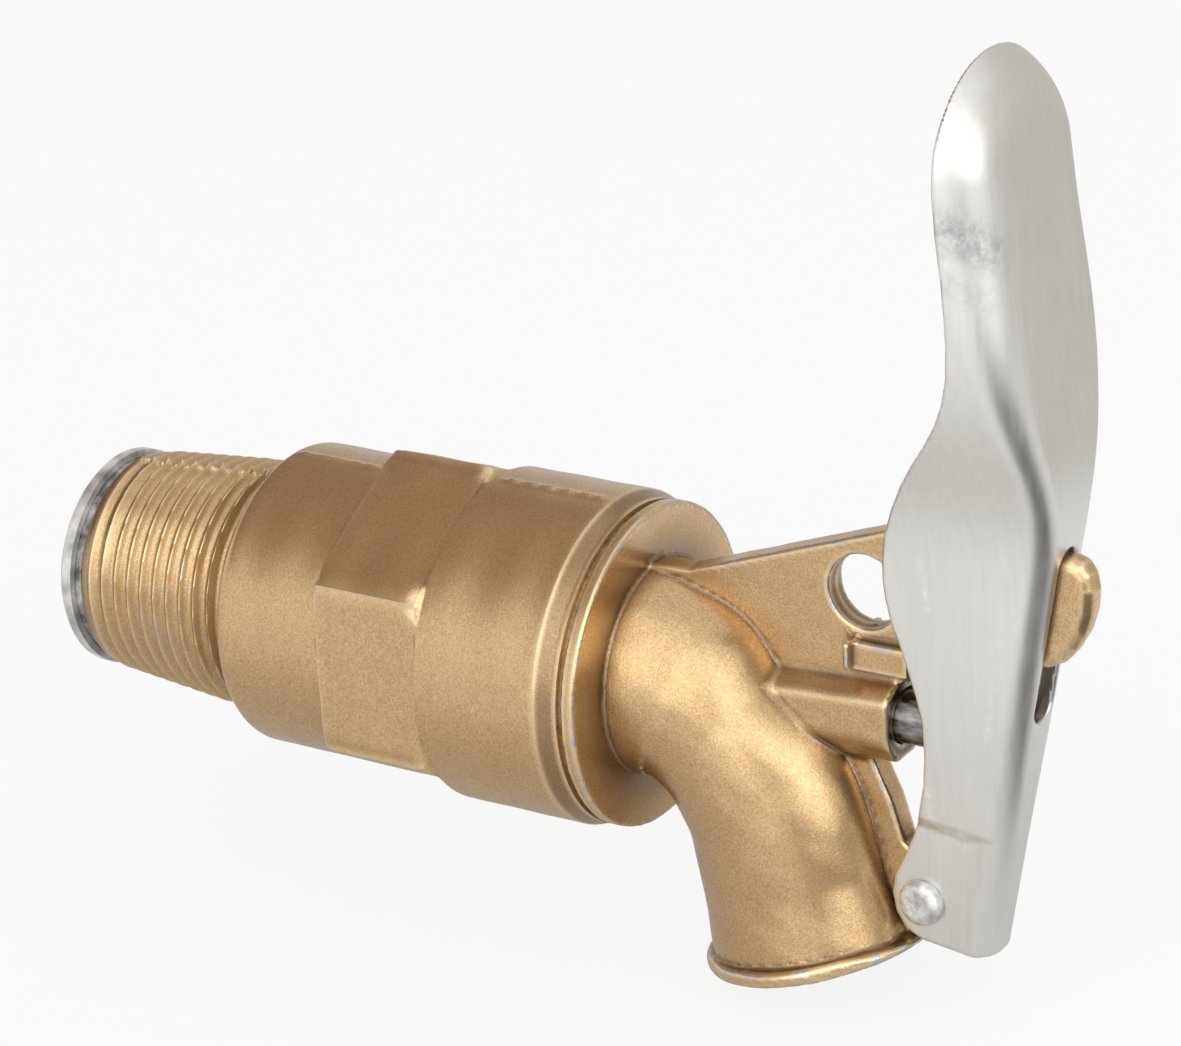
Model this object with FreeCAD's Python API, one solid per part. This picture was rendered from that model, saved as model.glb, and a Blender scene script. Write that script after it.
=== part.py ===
"""Self-closing drum tap: two zinc castings, a spring-loaded valve stem and a pressed aluminium handle.

The x axis is the axis of the barrel and of the stem, from the drum towards the handle. The thread ends at
x = 0, where the shoulder starts. The handle stands up along z, the spout points down, and the tap is the
same on both sides of the plane y = 0.
"""

import FreeCAD
import Part
import math
import os

# Clearances
RUN_CLEAR = 0.06
SEAT_CLEAR = 0.3
EAR_SIDE_GAP = 0.25

# Inlet casting
THREAD_R = 13.2
THREAD_END_R = 11.6
THREAD_LEAD = 2.6
THREAD_LEN = 20.6
INLET_BORE_R = 9.5
SHOULDER_LEN = 6.4
BARREL_R = 16.1
HEX_START = 13.0
HEX_LEN = 12.7
HEX_AF = 32.0
HEX_CORNER_R = 18.2
HEX_CHAMFER = 0.7
REAR_BARREL_R = 17.4
BODY_END = 42.4
RIM_LEN = 0.65
RIM_R = 16.8
RIM_CHAMFER_LEN = 1.65
CHAMBER_START = 6.4
CHAMBER_R = 13.6
SPIGOT_R = 15.0
SPIGOT_LEN = 7.5

# Gasket between the castings
BODY_GASKET_T = 0.5
BODY_GASKET_R = 16.3

# Spout casting
DISC_T = 1.5
DISC_R = 16.8
DISC_CHAMFER = 0.3
SPIGOT_BORE_R = 12.4
SPOUT_WALL = 2.2
BEAD_R = 12.5
BEAD_T = 1.6
BEAD_SHIFT = 0.6
BEAD_RELIEF_Z = -23.3
MOUTH_X = 62.6
MOUTH_Z = -26.9
MOUTH_TILT = 14.0
MOUTH_R = 11.2

# Web, arm, fin and pivot lug, all in the plane of symmetry
WEB_T = 3.0
LOCK_HOLE_X = 68.9
LOCK_HOLE_Z = 13.0
LOCK_HOLE_R = 3.9
BOSS_END = 72.6
BOSS_START = 55.4
BOSS_HALF_W = 4.1
BOSS_HALF_H = 4.5
BOSS_FLAT_W = 2.0
BOSS_FLAT_H = 2.0
PAD_START = 67.7
PAD_LEN = 6.4
PAD_BOTTOM = 3.6
PAD_TOP = 7.9
PAD_HALF_T = 2.7
TONGUE_REACH = 4.4
PIVOT_X = 75.6
PIVOT_Z = -18.4
LUG_R = 3.2

# Valve stem and what it carries
STEM_R = 2.7
STEM_THREAD_R = 2.0
CUP_R = 11.75
CUP_SHEET = 0.8
CUP_DEPTH = 1.6
VALVE_GASKET_T = 1.65
BACKING_R = 6.0
BACKING_T = 0.8
LOCK_WASHER_R = 4.2
LOCK_WASHER_T = 0.6
NUT_AF = 7.0
NUT_T = 3.2
STEM_THREAD_PROUD = 1.2
STEM_POINT_LEN = 1.6
STEM_PLAY = 0.5
CLIP_T = 0.8
CLIP_R = 5.0
CLIP_GROOVE_R = 2.1
SPRING_WASHER_T = 1.0
SPRING_WASHER_R = 6.6
O_RING_X = 65.9
O_RING_R = 0.6
O_RING_GROOVE_W = 1.5

# Guide plate and spring
GUIDE_T = 1.4
GUIDE_HUB_R = 5.6
GUIDE_RING_W = 2.2
GUIDE_ARM_W = 3.0
SPRING_R = 4.6
SPRING_WIRE_R = 0.5
SPRING_LEN = 20.0
SPRING_COILS = 8

# Handle, pressed from sheet
SHEET = 1.2
FOOT_Z = -23.5
FOOT_FRONT_X = 83.0
FOOT_CORNER_R = 1.6
EAR_R = 3.4
LEAN = 9.6
BEND_START_Z = 19.5
BEND_R = 46.0
TOP_LEAN = -6.7
SPOON_HALF_W = 11.4
SPOON_CENTRE_Z = 58.2
SPOON_TOP_Z = SPOON_CENTRE_Z + SPOON_HALF_W
SPOON_CROWN = 3.6
SPOON_TRIM = 1.5
SPOON_RIM_X = 82.3
BEND_INSIDE_R = 1.4
EAR_INSIDE = WEB_T / 2 + EAR_SIDE_GAP
EAR_TOP_Z = -9.6
EAR_SETBACK = 2.7
SLOT_W = 3.8
SLOT_BOTTOM_Z = 2.3
SLOT_TOP_Z = 21.7
RIVET_R = 1.5
RIVET_HEAD_R = 2.4
RIVET_HEAD_H = 1.1

AXIS = FreeCAD.Vector(1, 0, 0)
SIDE = FreeCAD.Vector(0, 1, 0)
UP = FreeCAD.Vector(0, 0, 1)

disc_x = BODY_END + BODY_GASKET_T
face_x = disc_x + DISC_T
nipple_end_x = -THREAD_LEN
seat_x = nipple_end_x - SEAT_CLEAR
shoulder_x = seat_x + BACKING_T
cup_back_x = seat_x - VALVE_GASKET_T - CUP_SHEET
nut_x = cup_back_x - LOCK_WASHER_T - NUT_T
spring_start_x = CHAMBER_START + GUIDE_T
spring_end_x = spring_start_x + SPRING_LEN
clip_x = spring_end_x + SPRING_WASHER_T
stem_end_x = (
    FOOT_FRONT_X - FOOT_Z * math.tan(math.radians(LEAN)) - SHEET / math.cos(math.radians(LEAN)) - STEM_PLAY
)


def vec(x, y, z):
    """A point or direction."""
    return FreeCAD.Vector(x, y, z)


def turned(points):
    """Solid turned about the x axis from an outline of (x, radius) points."""
    wire = Part.makePolygon([vec(x, 0, r) for x, r in points + points[:1]])
    return Part.Face(wire).revolve(vec(0, 0, 0), AXIS, 360)


def rod(x_start, x_end, radius, y=0.0, z=0.0):
    """Round bar along x."""
    return Part.makeCylinder(radius, x_end - x_start, vec(x_start, y, z), AXIS)


def cross_pin(radius, half_len, x, z):
    """Round bar along y, centred on the plane of symmetry."""
    return Part.makeCylinder(radius, 2 * half_len, vec(x, -half_len, z), SIDE)


def plate(edges, half_t):
    """Plate of an outline in the plane of symmetry, thickened to both sides."""
    face = Part.Face(Part.Wire(edges))
    face.translate(vec(0, -half_t, 0))
    return face.extrude(vec(0, 2 * half_t, 0))


def line(a, b):
    """Straight edge between two (x, z) points of the plane of symmetry."""
    return Part.makeLine(vec(a[0], 0, a[1]), vec(b[0], 0, b[1]))


def curve(points):
    """Smooth edge through (x, z) points of the plane of symmetry."""
    spline = Part.BSplineCurve()
    spline.interpolate([vec(x, 0, z) for x, z in points])
    return spline.toShape()


def prism_x(points, x_start, x_end):
    """Bar along x with an outline of (y, z) points."""
    wire = Part.makePolygon([vec(x_start, y, z) for y, z in points + points[:1]])
    return Part.Face(wire).extrude(vec(x_end - x_start, 0, 0))


def hexagon(across_flats, x_start, x_end, turn):
    """Hexagonal bar along x. A turn of 30 degrees puts two corners at the top and bottom."""
    corner = across_flats / 2 / math.cos(math.pi / 6)
    angles = [math.radians(turn + 60 * k) for k in range(6)]
    return prism_x([(corner * math.cos(a), corner * math.sin(a)) for a in angles], x_start, x_end)


def inlet_body():
    """Threaded nipple, shoulder, barrel, hexagon and the larger barrel that takes the spout casting."""
    hex_end = HEX_START + HEX_LEN
    rise = BARREL_R - THREAD_R
    bend = (SHOULDER_LEN ** 2 + rise ** 2) / (2 * rise)
    half = SHOULDER_LEN / 2
    mid_r = BARREL_R - bend + math.sqrt(bend ** 2 - half ** 2)
    edges = [
        line((nipple_end_x, INLET_BORE_R), (nipple_end_x, THREAD_END_R)),
        line((nipple_end_x, THREAD_END_R), (nipple_end_x + THREAD_LEAD, THREAD_R)),
        line((nipple_end_x + THREAD_LEAD, THREAD_R), (0, THREAD_R)),
        Part.Arc(vec(0, 0, THREAD_R), vec(half, 0, mid_r), vec(SHOULDER_LEN, 0, BARREL_R)).toShape(),
        line((SHOULDER_LEN, BARREL_R), (HEX_START, BARREL_R)),
        line((HEX_START, BARREL_R), (HEX_START, INLET_BORE_R)),
        line((HEX_START, INLET_BORE_R), (nipple_end_x, INLET_BORE_R)),
    ]
    nose = Part.Face(Part.Wire(edges)).revolve(vec(0, 0, 0), AXIS, 360)
    round_corners = turned([
        (HEX_START, 0), (HEX_START, HEX_CORNER_R - HEX_CHAMFER), (HEX_START + HEX_CHAMFER, HEX_CORNER_R),
        (hex_end, HEX_CORNER_R), (hex_end, 0),
    ])
    nut = hexagon(HEX_AF, HEX_START, hex_end, 30).common(round_corners)
    chamfer_x = BODY_END - RIM_LEN - RIM_CHAMFER_LEN
    rear = turned([
        (hex_end, 0), (hex_end, REAR_BARREL_R), (chamfer_x, REAR_BARREL_R), (BODY_END - RIM_LEN, RIM_R),
        (BODY_END, RIM_R), (BODY_END, 0),
    ])
    cavity = turned([
        (nipple_end_x - 1, 0), (nipple_end_x - 1, INLET_BORE_R), (CHAMBER_START, INLET_BORE_R),
        (CHAMBER_START, CHAMBER_R), (disc_x - SPIGOT_LEN - SEAT_CLEAR, CHAMBER_R),
        (disc_x - SPIGOT_LEN - SEAT_CLEAR, SPIGOT_R + RUN_CLEAR), (BODY_END + 1, SPIGOT_R + RUN_CLEAR),
        (BODY_END + 1, 0),
    ])
    return nose.fuse([nut, rear]).cut(cavity).removeSplitter()


def body_gasket():
    """Flat ring that seals the two castings, seen as the groove behind the flange disc."""
    return turned([
        (BODY_END, SPIGOT_R + RUN_CLEAR), (BODY_END, BODY_GASKET_R), (disc_x, BODY_GASKET_R),
        (disc_x, SPIGOT_R + RUN_CLEAR),
    ])


def spout_sections():
    """Centre (x, z), slope below the x axis in degrees and outer radius of each section of the spout."""
    down = 90 - MOUTH_TILT
    back = 9.0
    straight = (
        MOUTH_X - back * math.cos(math.radians(down)), MOUTH_Z + back * math.sin(math.radians(down)),
    )
    return [
        ((face_x - 1.0, 0.0), 0, 11.2),
        ((49.0, -1.0), 16, 10.9),
        ((54.0, -4.6), 40, 10.3),
        ((58.0, -10.3), 61, 10.2),
        (straight, down, 10.4),
        ((MOUTH_X, MOUTH_Z), down, MOUTH_R),
    ]


def spout_tube(shrink, lengthen):
    """The elbow and spout as one smooth tube, thinner by shrink and longer at both ends by lengthen."""
    rings = []
    sections = spout_sections()
    for (x, z), slope, radius in sections:
        heading = vec(math.cos(math.radians(slope)), 0, -math.sin(math.radians(slope)))
        rings.append(Part.Wire(Part.makeCircle(radius - shrink, vec(x, 0, z), heading)))
    tube = Part.makeLoft(rings, True, False)
    if lengthen:
        first, last = sections[0], sections[-1]
        head = Part.makeCylinder(first[2] - shrink, lengthen, vec(first[0][0], 0, first[0][1]), AXIS * -1)
        down = math.radians(last[1])
        out = vec(math.cos(down), 0, -math.sin(down))
        tail = Part.makeCylinder(last[2] - shrink, lengthen, vec(last[0][0], 0, last[0][1]), out)
        tube = tube.fuse([head, tail])
    return tube


def web_plate():
    """The web over the elbow, with the arm and the rounded tongue that comes out through the handle."""
    tip_x = handle_front_x(14.0) + TONGUE_REACH
    edges = [
        line((face_x - 1, -2), (face_x - 1, 11.5)),
        line((face_x - 1, 11.5), (49.1, 11.8)),
        line((49.1, 11.8), (71.4, 19.9)),
        curve([(71.4, 19.9), (76.4, 20.6), (tip_x - 3.6, 20.1)]),
        curve([
            (tip_x - 3.6, 20.1), (tip_x - 1.0, 19.8), (tip_x + 0.1, 17.9), (tip_x - 0.3, 14.4),
            (tip_x - 1.9, 11.0), (tip_x - 4.6, 8.7),
        ]),
        curve([(tip_x - 4.6, 8.7), (tip_x - 12.0, 7.6), (74.4, 4.6)]),
        line((74.4, 4.6), (69.4, 3.0)),
        line((69.4, 3.0), (59.4, -2)),
        line((59.4, -2), (face_x - 1, -2)),
    ]
    return plate(edges, WEB_T / 2)


def fin_and_lug():
    """The fin under the boss and the lug that carries the handle's rivet."""
    reach = LUG_R
    edges = [
        line((63.4, -2.0), (69.2, -4.2)),
        line((69.2, -4.2), (72.8, -13.2)),
        line((72.8, -13.2), (PIVOT_X, PIVOT_Z + reach)),
        Part.Arc(
            vec(PIVOT_X, 0, PIVOT_Z + reach),
            vec(PIVOT_X + reach, 0, PIVOT_Z),
            vec(PIVOT_X, 0, PIVOT_Z - reach),
        ).toShape(),
        line((PIVOT_X, PIVOT_Z - reach), (72.0, -23.4)),
        line((72.0, -23.4), (63.4, -20.0)),
        line((63.4, -20.0), (63.4, -2.0)),
    ]
    return plate(edges, WEB_T / 2)


def spout_body():
    """Flange disc with its spigot, elbow and spout, boss for the stem, web, arm, fin and lug."""
    disc = turned([
        (disc_x, 0), (disc_x, DISC_R), (face_x - DISC_CHAMFER, DISC_R),
        (face_x, DISC_R - DISC_CHAMFER), (face_x, 0),
    ])
    spigot = rod(disc_x - SPIGOT_LEN, disc_x, SPIGOT_R)
    down = math.radians(90 - MOUTH_TILT)
    out = vec(math.cos(down), 0, -math.sin(down))
    bead_end = vec(MOUTH_X, 0, MOUTH_Z) + vec(-out.z, 0, out.x) * BEAD_SHIFT
    bead = Part.makeCylinder(BEAD_R, BEAD_T, bead_end - out * BEAD_T, out)
    bead = bead.makeFillet(BEAD_T * 0.45, [e for e in bead.Edges if len(e.Vertexes) == 1])
    bead = bead.cut(Part.makeBox(20, 4 * BEAD_R, 20, vec(MOUTH_X, -2 * BEAD_R, BEAD_RELIEF_Z)))
    corner = [
        (BOSS_HALF_W, BOSS_FLAT_H), (BOSS_FLAT_W, BOSS_HALF_H), (-BOSS_FLAT_W, BOSS_HALF_H),
        (-BOSS_HALF_W, BOSS_FLAT_H), (-BOSS_HALF_W, -BOSS_FLAT_H), (-BOSS_FLAT_W, -BOSS_HALF_H),
        (BOSS_FLAT_W, -BOSS_HALF_H), (BOSS_HALF_W, -BOSS_FLAT_H),
    ]
    boss = prism_x(corner, BOSS_START, BOSS_END)
    pad = Part.makeBox(
        PAD_LEN, 2 * PAD_HALF_T, PAD_TOP - PAD_BOTTOM, vec(PAD_START, -PAD_HALF_T, PAD_BOTTOM)
    )
    outside = disc.fuse([spigot, spout_tube(0, 0), bead, web_plate(), fin_and_lug(), boss, pad])
    throat = turned([
        (disc_x - SPIGOT_LEN - 1, 0), (disc_x - SPIGOT_LEN - 1, SPIGOT_BORE_R), (disc_x - 2.0, SPIGOT_BORE_R),
        (face_x - 1.0, 11.2 - SPOUT_WALL), (face_x - 1.0, 0),
    ])
    stem_bore = rod(BOSS_START - 6, BOSS_END + 12, STEM_R + RUN_CLEAR)
    lock_hole = cross_pin(LOCK_HOLE_R, WEB_T, LOCK_HOLE_X, LOCK_HOLE_Z)
    rivet_hole = cross_pin(RIVET_R + RUN_CLEAR, WEB_T, PIVOT_X, PIVOT_Z)
    hollow = spout_tube(SPOUT_WALL, 3.0)
    return outside.cut(throat).cut(hollow).cut(stem_bore).cut(lock_hole).cut(rivet_hole).removeSplitter()


def handle_front_x(z):
    """Where the handle's front wall stands at height z, below its bend."""
    return FOOT_FRONT_X + (z - FOOT_Z) * math.tan(math.radians(LEAN))


def handle_front(inset):
    """Edges of the handle's front wall, from the foot to the tip, moved back by inset."""
    lean = math.radians(LEAN)
    top_lean = math.radians(TOP_LEAN)
    start = vec(handle_front_x(BEND_START_Z) - inset / math.cos(lean), 0, BEND_START_Z)
    foot_z = FOOT_Z - 3 if inset else FOOT_Z + FOOT_CORNER_R
    foot = vec(handle_front_x(foot_z) - inset / math.cos(lean), 0, foot_z)
    radius = BEND_R - inset
    centre = start - vec(math.cos(lean), 0, -math.sin(lean)) * radius

    def on_bend(angle):
        return centre + vec(math.cos(angle), 0, -math.sin(angle)) * radius

    middle = on_bend((lean + top_lean) / 2)
    end = on_bend(top_lean)
    knee_z = SPOON_CENTRE_Z
    knee = end + vec(math.sin(top_lean), 0, math.cos(top_lean)) * ((knee_z - end.z) / math.cos(top_lean))
    along = vec(math.sin(top_lean), 0, math.cos(top_lean))
    crown = vec(knee.x - SPOON_CROWN, 0, SPOON_TOP_Z + SPOON_TRIM)
    tip = Part.BezierCurve()
    tip.setPoles([knee, knee + along * (0.6 * (crown.z - knee.z)), crown])
    edges = [
        Part.makeLine(foot, start), Part.Arc(start, middle, end).toShape(), Part.makeLine(end, knee),
        tip.toShape(),
    ]
    return edges, foot, crown


def handle_side(inset):
    """Block with the handle's side view: its front wall, and the edge of its two sides."""
    edges, foot, tip = handle_front(inset)
    if inset:
        back = 60.0
        edges = edges + [
            line((tip.x, tip.z), (back, tip.z)), line((back, tip.z), (back, foot.z)),
            line((back, foot.z), (foot.x, foot.z)),
        ]
        return plate(edges, 2 * SPOON_HALF_W)
    ear_end = (73.4, -14.3)
    sole = (foot.x - FOOT_CORNER_R, FOOT_Z)
    heel = (PIVOT_X + 0.2, FOOT_Z + 0.7)
    rear = curve([
        (SPOON_RIM_X, tip.z), (82.1, 58.0), (83.2, 46.0), (82.8, 40.5), (80.6, 34.6), (74.2, 24.0),
        (72.65, 17.2), (73.05, 12.8), (74.3, 7.6), (76.3, 0.4), (76.1, -5.4), ear_end,
    ])
    edges = edges + [
        line((tip.x, tip.z), (SPOON_RIM_X, tip.z)),
        rear,
        Part.Arc(
            vec(ear_end[0], 0, ear_end[1]), vec(PIVOT_X - EAR_R, 0, PIVOT_Z), vec(heel[0], 0, heel[1])
        ).toShape(),
        line(heel, sole),
        Part.Arc(
            vec(sole[0], 0, sole[1]),
            vec(foot.x - FOOT_CORNER_R * 0.29, 0, FOOT_Z + FOOT_CORNER_R * 0.29),
            vec(foot.x, 0, foot.z),
        ).toShape(),
    ]
    return plate(edges, 2 * SPOON_HALF_W)


def handle_outline(inset):
    """Block with the handle's front view: narrow below, opening out into the rounded thumb end."""
    half = [
        (3.1, FOOT_Z - 4), (3.45, -12.0), (4.25, 0.0), (4.65, 17.0), (6.1, 26.5), (8.4, 32.4), (10.6, 39.0),
        (SPOON_HALF_W, 48.0),
    ]
    radius = SPOON_HALF_W - inset
    right = Part.BSplineCurve()
    right.interpolate(
        Points=[vec(60, w - inset, z) for w, z in half], InitialTangent=vec(0, 0.03, 1), FinalTangent=UP
    )
    left = Part.BSplineCurve()
    left.interpolate(
        Points=[vec(60, inset - w, z) for w, z in half], InitialTangent=vec(0, -0.03, 1), FinalTangent=UP
    )
    low = half[0][0] - inset
    high = half[-1][1]
    edges = [
        Part.makeLine(vec(60, -low, FOOT_Z - 4), vec(60, low, FOOT_Z - 4)), right.toShape(),
        Part.makeLine(vec(60, radius, high), vec(60, radius, SPOON_CENTRE_Z)),
        Part.Arc(
            vec(60, radius, SPOON_CENTRE_Z),
            vec(60, 0, SPOON_CENTRE_Z + radius),
            vec(60, -radius, SPOON_CENTRE_Z),
        ).toShape(),
        Part.makeLine(vec(60, -radius, SPOON_CENTRE_Z), vec(60, -radius, high)), left.toShape(),
    ]
    wire = Part.Wire(Part.__sortEdges__(edges))
    return Part.Face(wire).extrude(vec(60, 0, 0))


def bend_edges(solid, front, outline):
    """The solid's edges that lie on the handle's front wall and on its outline at the same time."""
    wall = Part.Wire(front)
    wall.translate(vec(0, -2 * SPOON_HALF_W, 0))
    walls = [wall.extrude(vec(0, 4 * SPOON_HALF_W, 0)), Part.Shell(outline.Faces)]
    found = []
    for edge in solid.Edges:
        span = edge.LastParameter - edge.FirstParameter
        spots = [Part.Vertex(edge.valueAt(edge.FirstParameter + span * share)) for share in (0.25, 0.5)]
        if all(spot.distToShape(wall)[0] < 0.001 for spot in spots for wall in walls):
            found.append(edge)
    return found


def handle_block(inset, radius):
    """The handle's full outer form, or the form of its hollow, with the bends rounded."""
    outline = handle_outline(inset)
    block = handle_side(inset).common(outline)
    return block.makeFillet(radius, bend_edges(block, handle_front(inset)[0], outline))


def ear_region():
    """Side view of the place where the two sides are pressed in to sit beside the lug."""
    low = FOOT_Z - 1
    edges = [
        line((65, EAR_TOP_Z + 0.5), (handle_front_x(EAR_TOP_Z) - EAR_SETBACK, EAR_TOP_Z)),
        line(
            (handle_front_x(EAR_TOP_Z) - EAR_SETBACK, EAR_TOP_Z), (handle_front_x(low) - EAR_SETBACK, low)
        ),
        line((handle_front_x(low) - EAR_SETBACK, low), (65, low)),
        line((65, low), (65, EAR_TOP_Z + 0.5)),
    ]
    return plate(edges, SPOON_HALF_W)


def slab(y_start, y_end):
    """Everything round the handle between two distances from the plane of symmetry, on both sides."""
    near = Part.makeBox(60, y_end - y_start, 120, vec(60, y_start, -40))
    far = Part.makeBox(60, y_end - y_start, 120, vec(60, -y_end, -40))
    return near.fuse(far)


def handle_lever():
    """Channel pressed from sheet, with a dished thumb end, two ears and a slot for the tongue."""
    lever = handle_block(0, BEND_INSIDE_R + SHEET).cut(handle_block(SHEET, BEND_INSIDE_R))
    ears = ear_region()
    ear_outside = EAR_INSIDE + SHEET
    lever = lever.cut(ears.common(slab(ear_outside, SPOON_HALF_W + 1)))
    lever = lever.fuse(handle_side(0).common(ears).common(slab(EAR_INSIDE, ear_outside)))
    half = SLOT_W / 2
    slot_x = handle_front_x(SLOT_BOTTOM_Z) - 3 * SHEET
    low = SLOT_BOTTOM_Z + half
    high = SLOT_TOP_Z - half
    slot = Part.makeBox(12, SLOT_W, high - low, vec(slot_x, -half, low))
    slot = slot.fuse([rod(slot_x, slot_x + 12, half, 0, low), rod(slot_x, slot_x + 12, half, 0, high)])
    return lever.cut(slot).cut(cross_pin(RIVET_R, 6, PIVOT_X, PIVOT_Z)).removeSplitter()


def pivot_rivet():
    """Rivet through both ears and the lug, with a low domed head at each end."""
    seat = EAR_INSIDE + SHEET
    top = seat + RIVET_HEAD_H
    brim = seat + 0.4 * RIVET_HEAD_H
    crown = seat + 0.86 * RIVET_HEAD_H
    flat = 0.3 * RIVET_HEAD_R

    def half_outline(side):
        dome_end = vec(RIVET_HEAD_R, side * brim, 0)
        return [
            Part.makeLine(vec(0, side * top, 0), vec(flat, side * top, 0)),
            Part.Arc(
                vec(flat, side * top, 0), vec(0.75 * RIVET_HEAD_R, side * crown, 0), dome_end
            ).toShape(),
            Part.makeLine(vec(RIVET_HEAD_R, side * brim, 0), vec(RIVET_HEAD_R, side * seat, 0)),
            Part.makeLine(vec(RIVET_HEAD_R, side * seat, 0), vec(RIVET_R, side * seat, 0)),
        ]

    edges = half_outline(1) + [Part.makeLine(vec(RIVET_R, seat, 0), vec(RIVET_R, -seat, 0))]
    edges += half_outline(-1) + [Part.makeLine(vec(0, -top, 0), vec(0, top, 0))]
    rivet = Part.Face(Part.Wire(Part.__sortEdges__(edges))).revolve(vec(0, 0, 0), SIDE, 360)
    rivet.translate(vec(PIVOT_X, 0, PIVOT_Z))
    return rivet


def valve_stem():
    """Steel rod from the valve to the handle, rounded at the end that the handle pushes."""
    thread_end = nut_x - STEM_THREAD_PROUD
    groove_x = O_RING_X - O_RING_GROOVE_W / 2
    groove_r = STEM_R + RUN_CLEAR / 2 - 2 * O_RING_R
    edge_r = 0.3
    outline = [
        (thread_end, 0), (thread_end, STEM_THREAD_R - edge_r), (thread_end + edge_r, STEM_THREAD_R),
        (shoulder_x, STEM_THREAD_R), (shoulder_x, STEM_R), (clip_x, STEM_R), (clip_x, CLIP_GROOVE_R),
        (clip_x + CLIP_T, CLIP_GROOVE_R), (clip_x + CLIP_T, STEM_R), (groove_x, STEM_R), (groove_x, groove_r),
        (groove_x + O_RING_GROOVE_W, groove_r), (groove_x + O_RING_GROOVE_W, STEM_R),
        (stem_end_x - STEM_POINT_LEN, STEM_R),
    ]
    edges = [line(a, b) for a, b in zip(outline, outline[1:])]
    point_start = outline[-1]
    point_mid = (stem_end_x - 0.35 * STEM_POINT_LEN, STEM_R * 0.75)
    point_end = (stem_end_x, STEM_R * 0.3)
    edges.append(Part.Arc(
        vec(point_start[0], 0, point_start[1]), vec(point_mid[0], 0, point_mid[1]),
        vec(point_end[0], 0, point_end[1]),
    ).toShape())
    edges.append(line(point_end, (stem_end_x, 0)))
    edges.append(line((stem_end_x, 0), outline[0]))
    return Part.Face(Part.Wire(edges)).revolve(vec(0, 0, 0), AXIS, 360)


def valve_cup():
    """Pressed cup with a low rim, which holds the rubber disc against the nipple's end."""
    hole = STEM_THREAD_R + RUN_CLEAR
    base_x = cup_back_x + CUP_SHEET
    rim_x = cup_back_x + CUP_DEPTH
    return turned([
        (cup_back_x, hole), (cup_back_x, CUP_R - 0.5), (cup_back_x + 0.5, CUP_R), (rim_x, CUP_R),
        (rim_x, CUP_R - CUP_SHEET), (base_x, CUP_R - CUP_SHEET), (base_x, hole),
    ])


def valve_gasket():
    """Rubber disc that closes the nipple."""
    hole = STEM_THREAD_R + RUN_CLEAR
    radius = CUP_R - CUP_SHEET - RUN_CLEAR
    back_x = seat_x - VALVE_GASKET_T
    return turned([(seat_x, hole), (seat_x, radius), (back_x, radius), (back_x, hole)])


def washer(x, thick, radius, hole):
    """Flat washer on the stem."""
    return turned([(x, hole), (x, radius), (x + thick, radius), (x + thick, hole)])


def valve_nut():
    """Nut on the drum end of the stem, with chamfered corners."""
    corner = NUT_AF / 2 / math.cos(math.pi / 6)
    cut = 0.5
    round_corners = turned([
        (nut_x, 0), (nut_x, corner - cut), (nut_x + cut, corner),
        (nut_x + NUT_T, corner), (nut_x + NUT_T, 0),
    ])
    nut = hexagon(NUT_AF, nut_x, nut_x + NUT_T, 30).common(round_corners)
    return nut.cut(rod(nut_x - 1, nut_x + NUT_T + 1, STEM_THREAD_R))


def stem_guide_plate():
    """Perforated plate on the chamber's shoulder: a ring, three arms and a hub that the stem runs through."""
    outer = CHAMBER_R - RUN_CLEAR
    end = CHAMBER_START + GUIDE_T
    ring = rod(CHAMBER_START, end, outer).cut(rod(CHAMBER_START - 1, end + 1, outer - GUIDE_RING_W))
    hub = rod(CHAMBER_START, end, GUIDE_HUB_R)
    arm_len = outer - 0.5 * GUIDE_RING_W
    arm = Part.makeBox(GUIDE_T, GUIDE_ARM_W, arm_len, vec(CHAMBER_START, -GUIDE_ARM_W / 2, 0))
    arms = []
    for k in range(3):
        turned_arm = arm.copy()
        turned_arm.rotate(vec(0, 0, 0), AXIS, 120 * k)
        arms.append(turned_arm)
    whole = ring.fuse([hub] + arms)
    return whole.cut(rod(CHAMBER_START - 1, end + 1, STEM_R + RUN_CLEAR)).removeSplitter()


def closing_spring():
    """Compression spring round the stem, between the guide plate and the washer on the stem."""
    length = SPRING_LEN - 2 * SPRING_WIRE_R - RUN_CLEAR
    helix = Part.makeHelix(length / SPRING_COILS, length, SPRING_R)
    start = helix.Edges[0].valueAt(helix.Edges[0].FirstParameter)
    heading = helix.Edges[0].tangentAt(helix.Edges[0].FirstParameter)
    section = Part.Wire(Part.makeCircle(SPRING_WIRE_R, start, heading))
    coil = Part.Wire(helix.Edges).makePipeShell([section], True, True)
    coil.rotate(vec(0, 0, 0), SIDE, 90)
    coil.translate(vec(spring_start_x + SPRING_WIRE_R, 0, 0))
    return coil


def stem_clip():
    """Open retaining ring in the stem's groove."""
    ring = washer(clip_x, CLIP_T, CLIP_R, CLIP_GROOVE_R)
    half = 0.8 * CLIP_GROOVE_R
    gap = Part.makeBox(CLIP_T + 2, 2 * half, CLIP_R + 1, vec(clip_x - 1, -half, -CLIP_R - 1))
    return ring.cut(gap)


def stem_o_ring():
    """Seal between the stem and the boss, in the stem's groove."""
    return Part.makeTorus(STEM_R + RUN_CLEAR / 2 - O_RING_R, O_RING_R, vec(O_RING_X, 0, 0), AXIS)


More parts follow.
